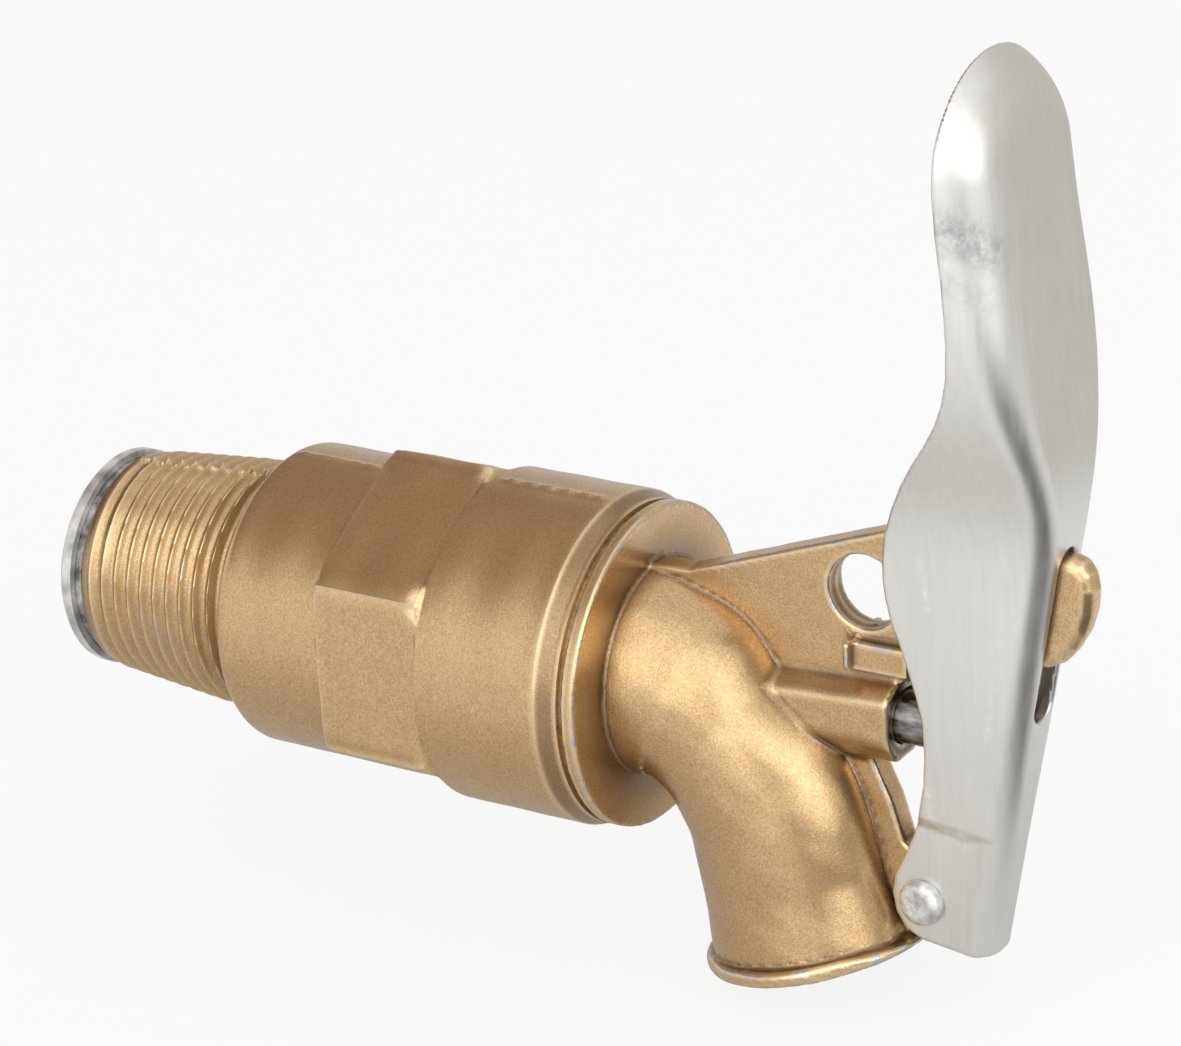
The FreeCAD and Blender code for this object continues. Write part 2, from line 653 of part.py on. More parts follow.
pieces = {
    "inlet_body": inlet_body(),
    "body_gasket": body_gasket(),
    "spout_body": spout_body(),
    "stem_guide_plate": stem_guide_plate(),
    "closing_spring": closing_spring(),
    "valve_stem": valve_stem(),
    "valve_cup": valve_cup(),
    "valve_gasket": valve_gasket(),
    "gasket_backing_washer": washer(seat_x, BACKING_T, BACKING_R, STEM_THREAD_R + RUN_CLEAR),
    "valve_lock_washer": washer(nut_x + NUT_T, LOCK_WASHER_T, LOCK_WASHER_R, STEM_THREAD_R + RUN_CLEAR),
    "valve_nut": valve_nut(),
    "spring_washer": washer(spring_end_x, SPRING_WASHER_T, SPRING_WASHER_R, STEM_R + RUN_CLEAR),
    "stem_clip": stem_clip(),
    "stem_o_ring": stem_o_ring(),
    "handle_lever": handle_lever(),
    "pivot_rivet": pivot_rivet(),
}

os.makedirs("parts", exist_ok=True)
for name, shape in pieces.items():
    shape.exportStep("parts/" + name + ".step")
    state = "valid" if shape.isValid() else "invalid"
    print(name, len(shape.Solids), "solid", round(shape.Volume, 1), "mm3", state)
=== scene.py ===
import math

import bpy
import numpy as np
from mathutils import Matrix


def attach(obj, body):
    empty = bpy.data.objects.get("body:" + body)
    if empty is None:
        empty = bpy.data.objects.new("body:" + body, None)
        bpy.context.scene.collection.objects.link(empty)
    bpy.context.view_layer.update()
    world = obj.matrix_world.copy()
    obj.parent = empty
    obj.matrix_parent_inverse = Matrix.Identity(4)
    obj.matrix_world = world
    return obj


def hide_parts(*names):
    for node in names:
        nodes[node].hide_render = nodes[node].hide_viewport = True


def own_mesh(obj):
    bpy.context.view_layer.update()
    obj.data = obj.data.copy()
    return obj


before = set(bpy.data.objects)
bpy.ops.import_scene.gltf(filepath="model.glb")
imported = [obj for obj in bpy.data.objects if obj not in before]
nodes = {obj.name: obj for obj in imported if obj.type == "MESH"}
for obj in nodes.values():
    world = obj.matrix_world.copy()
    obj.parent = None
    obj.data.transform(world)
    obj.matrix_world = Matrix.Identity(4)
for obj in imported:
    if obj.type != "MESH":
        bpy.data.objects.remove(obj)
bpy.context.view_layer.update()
scene = bpy.context.scene


# Camera: a long lens from the front right and above, at the photograph's angle. The barrel runs from the
# left of the picture to the right and a little towards the camera.
CAMERA_AZIMUTH, CAMERA_HEIGHT, CAMERA_ROLL = 32.647, 22.101, -2.732
CAMERA_DISTANCE, CAMERA_LENS = 0.45666, 137.907
LOOKED_AT = np.array([0.036858, 0.0, 0.014135])


def camera_axes(azimuth, height, roll):
    """Unit vectors to the right of, up from and back from the picture: the level frame at that azimuth
    and height, turned by the roll about the line of sight."""
    a, h, r = math.radians(azimuth), math.radians(height), math.radians(roll)
    back = np.array([math.sin(a) * math.cos(h), -math.cos(a) * math.cos(h), math.sin(h)])
    level = np.array([math.cos(a), math.sin(a), 0.0])
    upright = np.array([-math.sin(a) * math.sin(h), math.cos(a) * math.sin(h), math.cos(h)])
    right = level * math.cos(r) + upright * math.sin(r)
    up = upright * math.cos(r) - level * math.sin(r)
    return right, up, back


def add_object(name, data):
    """Object in the scene with its data."""
    obj = bpy.data.objects.new(name, data)
    scene.collection.objects.link(obj)
    return obj


def face_tap(obj, right, up, back, distance):
    """Stand a camera or a lamp at a distance from the tap, with its three unit vectors."""
    place = np.eye(4)
    place[:3, 0], place[:3, 1], place[:3, 2] = right, up, back
    place[:3, 3] = LOOKED_AT + back * distance
    obj.matrix_world = Matrix(place.tolist())


camera_data = bpy.data.cameras.new("camera")
camera_data.sensor_fit = "HORIZONTAL"
camera_data.sensor_width = 36.0
camera_data.lens = CAMERA_LENS
camera_data.clip_start = 0.01
camera = add_object("camera", camera_data)
face_tap(camera, *camera_axes(CAMERA_AZIMUTH, CAMERA_HEIGHT, CAMERA_ROLL), CAMERA_DISTANCE)
scene.camera = camera
scene.view_settings.view_transform = "Standard"


# Studio: a pale floor just under the spout's lip, a white world, two soft lamps, and cards that only
# reflections see. The cards stand where the photograph's metal reflects something dark or very bright.
FLOOR_Z, FLOOR_HALF = -0.0301, 3.0
FLOOR_GREY, FLOOR_SEEN_WHITE = 0.8, 0.88
GLOW_FROM, GLOW_TO, GLOW_LEAST, GLOW_MOST = 0.025, 0.085, 0.05, 0.85
WORLD_LIGHT = 0.70


def put_mesh(name, points, faces, sharp_angle=None, normals=None):
    """Mesh object from points in metres and one or more arrays of faces with three or four corners."""
    mesh = bpy.data.meshes.new(name)
    groups = faces if isinstance(faces, list) else [faces]
    corners = np.concatenate([group.ravel() for group in groups]).astype(np.int32)
    sizes = np.concatenate([np.full(len(group), group.shape[1], np.int32) for group in groups])
    starts = np.concatenate([[0], np.cumsum(sizes)[:-1]]).astype(np.int32)
    mesh.vertices.add(len(points))
    mesh.vertices.foreach_set("co", np.asarray(points, np.float32).ravel())
    mesh.loops.add(len(corners))
    mesh.loops.foreach_set("vertex_index", corners)
    mesh.polygons.add(len(sizes))
    mesh.polygons.foreach_set("loop_start", starts)
    mesh.polygons.foreach_set("loop_total", sizes)
    mesh.update(calc_edges=True)
    mesh.validate()
    mesh.polygons.foreach_set("use_smooth", np.ones(len(mesh.polygons), bool))
    if sharp_angle is not None:
        mesh.set_sharp_from_angle(angle=math.radians(sharp_angle))
    if normals is not None:
        mesh.normals_split_custom_set_from_vertices(normals.tolist())
    return add_object(name, mesh)


def node(tree, kind, inputs=None, **settings):
    """Shader node of a kind with its settings. Each input gets a plain value or another node's output."""
    made = tree.nodes.new(kind)
    for key, value in settings.items():
        setattr(made, key, value)
    for key, value in (inputs or {}).items():
        if isinstance(value, bpy.types.NodeSocket):
            tree.links.new(value, made.inputs[key])
        else:
            made.inputs[key].default_value = value
    return made


def arithmetic(tree, operation, *terms):
    """Result of a Math node, whose terms are numbers or other nodes' outputs."""
    return node(tree, "ShaderNodeMath", dict(enumerate(terms)), operation=operation).outputs[0]


def stretched(tree, source, low, high, to_low=0.0, to_high=1.0, **settings):
    """A value's range from low to high, spread over another range."""
    return node(tree, "ShaderNodeMapRange", {
        "Value": source, "From Min": low, "From Max": high, "To Min": to_low, "To Max": to_high,
    }, **settings).outputs[0]


def new_material(name):
    """Empty node material and its node tree."""
    material = bpy.data.materials.new(name)
    material.use_nodes = True
    material.node_tree.nodes.clear()
    return material, material.node_tree


def put_surface(tree, kind, inputs):
    """Shader of a kind, with its inputs, as the material's surface."""
    node(tree, "ShaderNodeOutputMaterial", {"Surface": node(tree, kind, inputs).outputs[0]})


def floor_material():
    """Pale matt floor. The camera sees it mostly as paper white, and reflections see it whiter with the
    distance to the barrel's line: it stays white, keeps the shadow, and is painted darker close under
    the tap in reflections, a painted shade."""
    material, tree = new_material("studio_floor")
    matt = node(tree, "ShaderNodeBsdfDiffuse", {"Color": (FLOOR_GREY, FLOOR_GREY, FLOOR_GREY, 1)})
    white = node(tree, "ShaderNodeEmission", {"Strength": 1.0})
    path = node(tree, "ShaderNodeLightPath").outputs
    spot = node(tree, "ShaderNodeTexCoord").outputs["Object"]
    sideways = node(tree, "ShaderNodeSeparateXYZ", {"Vector": spot}).outputs["Y"]
    sideways = arithmetic(tree, "ABSOLUTE", sideways)
    # Painted shade: reflections see less of the white glow close under the tap.
    white_beyond_painted_dark = stretched(
        tree, sideways, GLOW_FROM, GLOW_TO, GLOW_LEAST, GLOW_MOST, interpolation_type="SMOOTHSTEP")
    mirrored = arithmetic(tree, "MULTIPLY", path["Is Glossy Ray"], white_beyond_painted_dark)
    direct = arithmetic(tree, "MAXIMUM", path["Is Camera Ray"], path["Is Transmission Ray"])
    share = arithmetic(tree, "MULTIPLY_ADD", direct, FLOOR_SEEN_WHITE, mirrored)
    put_surface(tree, "ShaderNodeMixShader", {0: share, 1: matt.outputs[0], 2: white.outputs[0]})
    return material


FLAT_SQUARE = np.array([[-1, -1, 0], [1, -1, 0], [1, 1, 0], [-1, 1, 0]])
ONE_FACE = np.array([[0, 1, 2, 3]])
floor = put_mesh("studio_floor", FLAT_SQUARE * FLOOR_HALF + [0, 0, FLOOR_Z], ONE_FACE)
floor.data.materials.append(floor_material())

world = bpy.data.worlds.new("studio")
scene.world = world
world.use_nodes = True
sky_tree = world.node_tree
sky_tree.nodes.clear()
ray = node(sky_tree, "ShaderNodeLightPath").outputs
seen = arithmetic(sky_tree, "MAXIMUM", ray["Is Camera Ray"], ray["Is Glossy Ray"])
seen = arithmetic(sky_tree, "MAXIMUM", seen, ray["Is Transmission Ray"])
seen = stretched(sky_tree, seen, 0.0, 1.0, WORLD_LIGHT)
sky = node(sky_tree, "ShaderNodeBackground", {"Color": (1, 1, 1, 1), "Strength": seen})
node(sky_tree, "ShaderNodeOutputWorld", {"Surface": sky.outputs[0]})


def studio_card(name, corners, tone):
    """Flat card between four corners, of one plain tone, that only reflections see."""
    card = put_mesh(name, np.array(corners, float), ONE_FACE)
    material, tree = new_material(name)
    put_surface(tree, "ShaderNodeEmission", {"Color": tone + (1,), "Strength": 1.0})
    card.data.materials.append(material)
    card.visible_camera = False
    card.visible_diffuse = False
    card.visible_shadow = False
    card.visible_transmission = False


def low_card(name, corners, lift, tone):
    """Card that lies on the floor, a hair above it."""
    studio_card(name, [(x, y, FLOOR_Z + lift) for x, y in corners], tone)


def upright_card(name, start, end, low_z, high_z, tone):
    """Card that stands straight up, with its foot between two points."""
    studio_card(name, [start + (low_z,), end + (low_z,), end + (high_z,), start + (high_z,)], tone)


def soft_lamp(name, direction, distance, width, height, watts):
    """Rectangular lamp that faces the tap from a direction."""
    data = bpy.data.lights.new(name, "AREA")
    data.shape, data.energy = "RECTANGLE", watts
    data.size, data.size_y = width, height
    aim = np.array(direction, float)
    aim /= np.linalg.norm(aim)
    side = np.cross([0.0, 0.0, 1.0], aim)
    side /= np.linalg.norm(side)
    face_tap(add_object(name, data), side, np.cross(aim, side), aim, distance)


studio_card("card_left", (
    (-1.0, 1.0, 0.0), (-1.0, -1.15, 0.62), (-0.5, -0.62, 1.3), (-0.5, 1.0, 1.3),
), (0.33, 0.26, 0.22))
upright_card("card_behind", (-1.0, 1.0), (1.1, 1.0), 0.0, 1.4, (0.62, 0.60, 0.56))
upright_card("card_right", (1.1, -0.05), (1.1, 1.0), 0.0, 1.2, (0.72, 0.70, 0.67))
low_card("card_low_behind", (
    (-1.0, 0.13), (1.1, 0.13), (1.1, 1.0), (-1.0, 1.0),
), 0.0003, (0.60, 0.58, 0.55))
low_card("card_low_right", (
    (0.112, 0.02), (0.112, -0.09), (0.27, -0.30), (0.40, -0.04),
), 0.0005, (0.11, 0.11, 0.11))
studio_card("card_front", (
    (-0.30, -0.95, -0.03), (0.36, -0.93, -0.03), (0.30, -0.95, 0.55), (-0.30, -0.95, 0.75),
), (2.0, 1.98, 1.92))
upright_card("card_front_right", (0.72, -0.69), (0.985, -0.17), -0.03, 0.34, (1.60, 1.59, 1.55))
upright_card("card_side", (1.05, -0.09), (1.05, 0.50), -0.03, 0.14, (0.30, 0.29, 0.27))
studio_card("card_above_left", (
    (-0.304, -0.487, 0.82), (0.10, -0.565, 0.82), (0.042, -0.238, 0.97), (-0.128, -0.205, 0.97),
), (1.70, 1.69, 1.65))
soft_lamp("lamp_front", (0.28, -0.72, 0.64), distance=1.0, width=1.0, height=0.8, watts=2.3)
soft_lamp("lamp_right", (0.84, -0.39, 0.37), distance=0.9, width=0.45, height=0.6, watts=1.1)


# Inlet casting: the threaded nipple, shoulder, barrel, hexagon and second barrel, one zinc casting with a
# gold lacquer. The thread is cast in, so its crests are broad and soft and the mould's seam runs over it.
MM = 0.001
NIPPLE_END_X = -20.6
THREAD_PITCH, THREAD_DEPTH = 1.814, 0.9
THREAD_START, THREAD_RUN_OUT = (-20.3, -18.9), (-0.9, -0.15)
CREST_START_R, CREST_TAPER, CREST_END_R, CREST_SHARPNESS = 11.87, 0.091, 13.2, 2.3
SHOULDER_X, BARREL_R = 1.5, 16.06
HEX_START_X, HEX_END_X = 13.0, 25.7
HEX_APOTHEM, HEX_SHARP_R, HEX_CORNER_R = 16.08, 18.475, 18.2
REAR_BARREL_R, CHAMFER_X, INLET_END_X = 17.4, 40.1, 42.4
SEAM_TOP, SEAM_BOTTOM, SEAM_WIDTH = 92.0, 268.0, 1.5
BARREL_SEAM, THREAD_SEAM, HALVES_SHIFT = 0.30, 0.34, 0.06
NOSE_OUTLINE = np.array([
    [-20.6, 11.35], [-20.3, 11.62], [-19.0, 11.7], [-0.3, 13.05], [-0.02, 13.3], [0.0, 14.55],
    [0.1, 15.07], [0.25, 15.4], [0.5, 15.69], [0.75, 15.87], [1.0, 15.98], [1.25, 16.04], [SHOULDER_X, BARREL_R],
    [CHAMFER_X, REAR_BARREL_R], [41.75, 16.8], [INLET_END_X, 16.8],
])
INLET_INSIDE = np.array([
    [42.4, 16.3], [42.4, 15.3], [42.2, 15.06], [39, 15.06], [35.4, 15.06], [35.3, 14.9], [35.3, 13.7],
    [35.1, 13.6], [26, 13.6], [16, 13.6], [6.5, 13.6], [6.4, 13.5], [6.4, 9.7], [6.2, 9.5], [0, 9.5],
    [-10, 9.5], [-20.3, 9.5], [-20.6, 9.8], [-20.6, 10.6],
])


def smooth_step(a, b, x):
    """Smooth rise from 0 at a to 1 at b."""
    t = np.clip((x - a) / (b - a), 0.0, 1.0)
    return t * t * (3.0 - 2.0 * t)


def bell(x, centre, width):
    """Bell-shaped bump of height 1."""
    return np.exp(-((x - centre) / width) ** 2)


def ragged(x, seed):
    """Uneven wave between 0 and 1: three sines of unrelated wavelengths."""
    wave = np.sin(2.9 * x + seed) + 0.7 * np.sin(6.7 * x + 2.3 * seed) + 0.6 * np.sin(13.1 * x + 4.1 * seed)
    return np.clip(0.5 + 0.24 * wave, 0.0, 1.0)


def hexagon_radius(angle):
    """Radius at an angle of the hexagon with its corners rounded off."""
    off = np.mod(angle + 30.0, 60.0) - 30.0
    flat = HEX_APOTHEM / np.cos(np.radians(off))
    return flat - smooth_step(HEX_CORNER_R - 0.5, HEX_SHARP_R, flat) * (HEX_SHARP_R - HEX_CORNER_R)


def between(x, rise, fall):
    """1 between two soft edges, a rise and a fall, each with its start and its end."""
    return smooth_step(*rise, x) * (1 - smooth_step(*fall, x))


def inlet_outside(x, angle):
    """Radius of the casting's outside at x and at an angle from +y towards +z, in millimetres, with the
    share of wear and sheen and of painted shade there: a turned outline, cut by a helical wave on the
    nipple, swollen to a hexagon in the middle, with a ragged seam along its top and bottom. The mould's
    halves are a little shifted along the thread."""
    seam = bell(angle, SEAM_TOP, SEAM_WIDTH) + bell(angle, SEAM_BOTTOM, SEAM_WIDTH)
    near_half = between(angle, (SEAM_TOP - 1, SEAM_TOP + 1), (SEAM_BOTTOM - 1, SEAM_BOTTOM + 1))
    phase = x / THREAD_PITCH - angle / 360.0 + HALVES_SHIFT * (1 - near_half)
    across = np.mod(phase + 0.5, 1.0) - 0.5
    ridge = np.clip(1.08 - np.sqrt(4 * across ** 2 + 0.0064), 0, 1) ** CREST_SHARPNESS
    threaded = between(x, THREAD_START, THREAD_RUN_OUT)
    radius = np.interp(x, NOSE_OUTLINE[:, 0], NOSE_OUTLINE[:, 1])
    crest = np.minimum(CREST_START_R + CREST_TAPER * (x - NIPPLE_END_X), CREST_END_R)
    depth = THREAD_DEPTH * (0.75 + 0.25 * near_half) * (0.3 + 0.7 * smooth_step(-20.3, -15.5, x))
    radius = radius + (crest - depth * (1 - ridge) - radius) * threaded

    hexagon = hexagon_radius(angle)
    corner = smooth_step(HEX_CORNER_R - 1.0, HEX_CORNER_R, hexagon)
    rise = (HEX_START_X - 0.05, HEX_START_X + 0.35)
    inside_hex = between(x, rise, (HEX_END_X - 0.35, HEX_END_X + 0.3))
    barrel = np.where(x < 0.5 * (HEX_START_X + HEX_END_X), BARREL_R, REAR_BARREL_R)
    plain = np.where((x > SHOULDER_X) & (x < CHAMFER_X), barrel, radius)
    radius = plain + (hexagon - plain) * inside_hex
    ends = np.maximum(bell(x, HEX_START_X + 0.3, 0.35), bell(x, HEX_END_X - 0.35, 0.4))
    radius = radius - 0.22 * ends * corner

    on_barrels = between(x, (1.0, 2.5), (10.5, 12.0)) + between(x, (26.6, 28.0), (38.4, 39.8))
    on_barrel_seam = BARREL_SEAM * on_barrels * (0.35 + ragged(x, 1.0))
    radius = radius + seam * (on_barrel_seam + THREAD_SEAM * threaded * (0.3 + ragged(2.2 * x, 2.0)))
    uneven = np.sin(0.9 * x + 1.3) * np.sin(np.radians(3 * angle) + 0.5)
    radius = radius + 0.035 * uneven * smooth_step(0.5, 3.0, x)

    rubbed = 0.70 + 0.30 * bell(angle, 183.0, 28.0) * bell(x, -9.0, 7.0)
    hex_edges = np.maximum(bell(x, HEX_START_X + 0.35, 0.3), 0.8 * bell(x, HEX_END_X + 0.2, 0.25))
    # Crests, corners and edges: bare zinc where the lacquer is rubbed through. In the lacquer they also get a
    # lighter gold, partly rubbed lacquer and partly a painted highlight.
    wear_and_sheen = np.max([
        threaded * rubbed * ridge ** 1.4,
        corner * ends,
        hex_edges * (0.35 + 0.65 * corner) * inside_hex,
        0.55 * smooth_step(HEX_CORNER_R - 0.3, HEX_CORNER_R, hexagon) * inside_hex,
        0.7 * bell(x, CHAMFER_X, 0.3),
        0.9 * bell(x, INLET_END_X, 0.3),
        seam * (on_barrels * 0.62 + threaded * 0.7),
    ], axis=0)
    # Painted shade in the thread's valleys, on one flank of each turn and over the last turns, and in the groove
    # by the rim. The thread is also made darker at both of its ends.
    flanks = threaded * (0.26 * (1 - ridge) + 0.45 * bell(across, -0.24, 0.15))
    last_turns = 0.3 * threaded * smooth_step(-6.0, -1.5, x)
    rim = 0.8 * between(x, (40.15, 40.5), (41.7, 42.1))
    thread_ends = 0.8 * bell(x, -20.2, 0.5) + 0.5 * bell(x, -0.2, 0.5)
    painted_shade = flanks + last_turns + rim + thread_ends
    return radius, np.clip(wear_and_sheen, 0, 1), np.clip(painted_shade, 0, 1)


def add_value(obj, name, values):
    """Number per vertex that the material reads by its name."""
    layer = obj.data.attributes.new(name, "FLOAT", "POINT")
    layer.data.foreach_set("value", np.asarray(values, np.float32).ravel())


def inlet_mesh():
    """Skin of the casting, closed both ways: the outside from the nipple to the rim, then back through
    the chamber and the nipple's bore, turned about the barrel's axis. The spans give where x runs from
    and to, and in how many steps."""
    spans = ((-20.6, -20.1, 4), (-20.1, 0.0, 276), (0.0, 1.5, 18), (1.5, 12.9, 14), (12.9, 13.7, 12),
             (13.7, 25.1, 13), (25.1, 26.1, 13), (26.1, 39.9, 29), (39.9, INLET_END_X, 15))
    x_out = [np.linspace(a, b, n, endpoint=False) for a, b, n in spans]
    x_out = np.concatenate(x_out + [[INLET_END_X]])
    beside_seam = np.array([-0.9, -0.45, 0.45, 0.9])
    hex_corners = (30.0 + 60.0 * np.arange(6))[:, None] + np.array([-5.0, -3.0, -1.0, 1.0, 3.0, 5.0])
    angles = np.unique(np.concatenate([
        np.arange(0, 360, 2.0), hex_corners.ravel(), SEAM_TOP + beside_seam, SEAM_BOTTOM + beside_seam,
    ]))
    grid_x, grid_a = np.meshgrid(x_out, angles, indexing="ij")
    radius, wear_and_sheen, painted_shade = inlet_outside(grid_x, grid_a)
    grid_x = np.vstack([grid_x, np.repeat(INLET_INSIDE[:, :1], len(angles), 1)])
    radius = np.vstack([radius, np.repeat(INLET_INSIDE[:, 1:], len(angles), 1)])
    inside = np.zeros((len(INLET_INSIDE), len(angles)))
    turn = np.radians(angles)[None, :]
    points = np.stack([grid_x, radius * np.cos(turn), radius * np.sin(turn)], -1).reshape(-1, 3) * MM
    index = np.arange(grid_x.size).reshape(grid_x.shape)
    down, across = np.roll(index, -1, 0), np.roll(index, -1, 1)
    faces = np.stack([index, across, np.roll(down, -1, 1), down], -1).reshape(-1, 4)
    obj = put_mesh("inlet_casting", points, faces, sharp_angle=38)
    add_value(obj, "wear_and_sheen", np.vstack([wear_and_sheen, inside]))
    # The chamber and the bore get an even painted shade.
    add_value(obj, "painted_shade", np.vstack([painted_shade, inside + 0.5]))
    return obj


def new_group(name, inputs, outputs):
    """Shader node group, from its inputs' values and its outputs' kinds by name. Returns its tree and
    what its input node puts out."""
    tree = bpy.data.node_groups.new(name, "ShaderNodeTree")
    for label, value in inputs.items():
        kind = "NodeSocketColor" if isinstance(value, tuple) else "NodeSocketFloat"
        socket = tree.interface.new_socket(name=label, in_out="INPUT", socket_type=kind)
        socket.default_value = value
    for label, kind in outputs.items():
        tree.interface.new_socket(name=label, in_out="OUTPUT", socket_type=kind)
    return tree, node(tree, "NodeGroupInput").outputs


def noise(tree, place, scale, detail, roughness=0.5):
    """Noise around 0.5 at a place, with its scale, detail and roughness."""
    return node(tree, "ShaderNodeTexNoise", {
        "Vector": place, "Scale": scale, "Detail": detail, "Roughness": roughness,
    }).outputs["Fac"]


def full_noise(tree, *settings):
    """Noise whose usual range fills 0 to 1."""
    return stretched(tree, noise(tree, *settings), 0.3, 0.7)


def mixed(tree, share, first, second, kind="RGBA"):
    """Colour between two colours, by a share, or with kind FLOAT a number between two numbers."""
    inputs = {"Factor": share, "A": first, "B": second}
    return node(tree, "ShaderNodeMix", inputs, data_type=kind).outputs["Result"]


def value_on_skin(tree, name):
    """Number that add_value has put on the mesh under a name."""
    return node(tree, "ShaderNodeAttribute", attribute_name=name).outputs["Fac"]


def flake_group():
    """Fine flakes of a metallic lacquer: a light and a dark tone mixed by three noises, of flakes, of
    small blotches and of wide clouds. Puts out the colour, a roughness and a height."""
    tree, given = new_group("lacquer_flakes", {
        "Light Tone": (0.62, 0.46, 0.24, 1), "Dark Tone": (0.36, 0.24, 0.10, 1), "Flake Scale": 3600.0,
    }, {"Color": "NodeSocketColor", "Roughness": "NodeSocketFloat", "Height": "NodeSocketFloat"})
    spot = node(tree, "ShaderNodeTexCoord").outputs["Object"]
    flakes = full_noise(tree, spot, given["Flake Scale"], 1.0)
    blotches = full_noise(tree, spot, 900.0, 3.0)
    clouds = full_noise(tree, spot, 90.0, 3.0)
    fine = mixed(tree, 0.15, flakes, blotches, "FLOAT")
    whole = mixed(tree, 0.12, fine, clouds, "FLOAT")
    node(tree, "NodeGroupOutput", {
        "Color": mixed(tree, whole, given["Dark Tone"], given["Light Tone"]),
        "Roughness": stretched(tree, whole, 0.0, 1.0, 0.36, 0.26),
        "Height": fine,
    })
    return tree


def worn_edge_group():
    """Patchy mask of bare metal where the wear value is high: the value plus a noise, cut off with a short
    soft edge."""
    tree, given = new_group(
        "worn_edges", {"Amount": 0.5, "Patch Scale": 700.0}, {"Mask": "NodeSocketFloat"})
    spot = node(tree, "ShaderNodeTexCoord").outputs["Object"]
    patches = noise(tree, spot, given["Patch Scale"], 4.0, 0.65)
    reach = arithmetic(tree, "MULTIPLY_ADD", value_on_skin(tree, "wear_and_sheen"), given["Amount"], patches)
    node(tree, "NodeGroupOutput", {"Mask": stretched(tree, reach, 0.86, 0.98)})
    return tree


lacquer_flakes = flake_group()
worn_edges = worn_edge_group()
LACQUER_LIGHT, LACQUER_DARK = (0.72, 0.50, 0.25, 1), (0.43, 0.27, 0.115, 1)
FLAKE_SCALE = 5200.0
BARE_ZINC, SHADE_PAINT_BROWN = (0.50, 0.52, 0.53, 1), (0.10, 0.06, 0.03, 1)
RUBBED_GOLD_AND_SHEEN = (1.0, 0.80, 0.50, 1)


def gold_lacquer(name, wear_amount, patch_scale):
    """Gold lacquer on a zinc casting: flakes, painted shade in the hollows, a lighter gold on edges and
    crests that is partly rubbed lacquer and partly a painted highlight, and bare zinc on the worn edges.
    """
    material, tree = new_material(name)
    flakes = node(tree, "ShaderNodeGroup", {
        "Light Tone": LACQUER_LIGHT, "Dark Tone": LACQUER_DARK, "Flake Scale": FLAKE_SCALE,
    }, node_tree=lacquer_flakes)
    bare = node(tree, "ShaderNodeGroup", {
        "Amount": wear_amount, "Patch Scale": patch_scale,
    }, node_tree=worn_edges).outputs["Mask"]
    # Painted shade: the painted_shade value darkens the lacquer towards brown.
    shade_share = arithmetic(tree, "MULTIPLY", value_on_skin(tree, "painted_shade"), 0.70)
    # The lighter gold on crests and edges is partly rubbed lacquer and partly a painted highlight.
    rub_and_sheen = arithmetic(tree, "MULTIPLY", value_on_skin(tree, "wear_and_sheen"), 0.5)
    tone = mixed(tree, shade_share, flakes.outputs["Color"], SHADE_PAINT_BROWN)
    tone = mixed(tree, rub_and_sheen, tone, RUBBED_GOLD_AND_SHEEN)
    relief = arithmetic(tree, "SUBTRACT", flakes.outputs["Height"], bare)
    lift = node(tree, "ShaderNodeBump", {"Strength": 0.5, "Distance": 0.000015, "Height": relief})
    put_surface(tree, "ShaderNodeBsdfPrincipled", {
        "Base Color": mixed(tree, bare, tone, BARE_ZINC), "Metallic": 0.92,
        "Roughness": flakes.outputs["Roughness"], "Normal": lift.outputs[0],
        "Coat Weight": 0.55, "Coat Roughness": 0.14,
    })
    return material


inlet_casting = inlet_mesh()
inlet_casting.data.materials.append(gold_lacquer("inlet_lacquer", wear_amount=0.43, patch_scale=480.0))
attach(inlet_casting, "tap_body")
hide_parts("inlet_body")


# Gasket between the castings: a flat ring cut from sheet. It is clamped when the spout's spigot is pressed
# into the inlet's rim, and only its edge shows in the groove, with the lacquer sprayed over it.
def plain_finish(name, tone, metallic, roughness, scale, depth, stretch=(1, 1, 1), spread=(0.62, 1.25)):
    """Finish with an uneven tone and grain: noise on object coordinates, stretched by three factors,
    takes the tone from its darkest to its lightest share, changes the roughness and lifts the surface."""
    material, tree = new_material(name)
    spot = node(tree, "ShaderNodeTexCoord").outputs["Object"]
    laid = node(tree, "ShaderNodeMapping", {"Vector": spot, "Scale": stretch}).outputs[0]
    grain = full_noise(tree, laid, scale, 4.0)
    dark = tuple(spread[0] * c for c in tone) + (1,)
    light = tuple(min(1.0, spread[1] * c) for c in tone) + (1,)
    lift = node(tree, "ShaderNodeBump", {"Strength": 0.5, "Distance": depth, "Height": grain})
    put_surface(tree, "ShaderNodeBsdfPrincipled", {
        "Base Color": mixed(tree, grain, dark, light), "Metallic": metallic,
        "Roughness": stretched(tree, grain, 0.0, 1.0, roughness - 0.06, roughness + 0.08),
        "Normal": lift.outputs[0],
    })
    return material


def dress(names, material):
    """CAD nodes that stay in view get their material."""
    for name in names:
        slots = nodes[name].data.materials
        slots.clear()
        slots.append(material)


# Its gold brown is the lacquer over the edge, darkened by a painted shade of the groove's depth.
dress(["body_gasket"], plain_finish(
    "gasket_edge", (0.42, 0.28, 0.12), metallic=0.85, roughness=0.42, scale=1500.0, depth=0.00003))


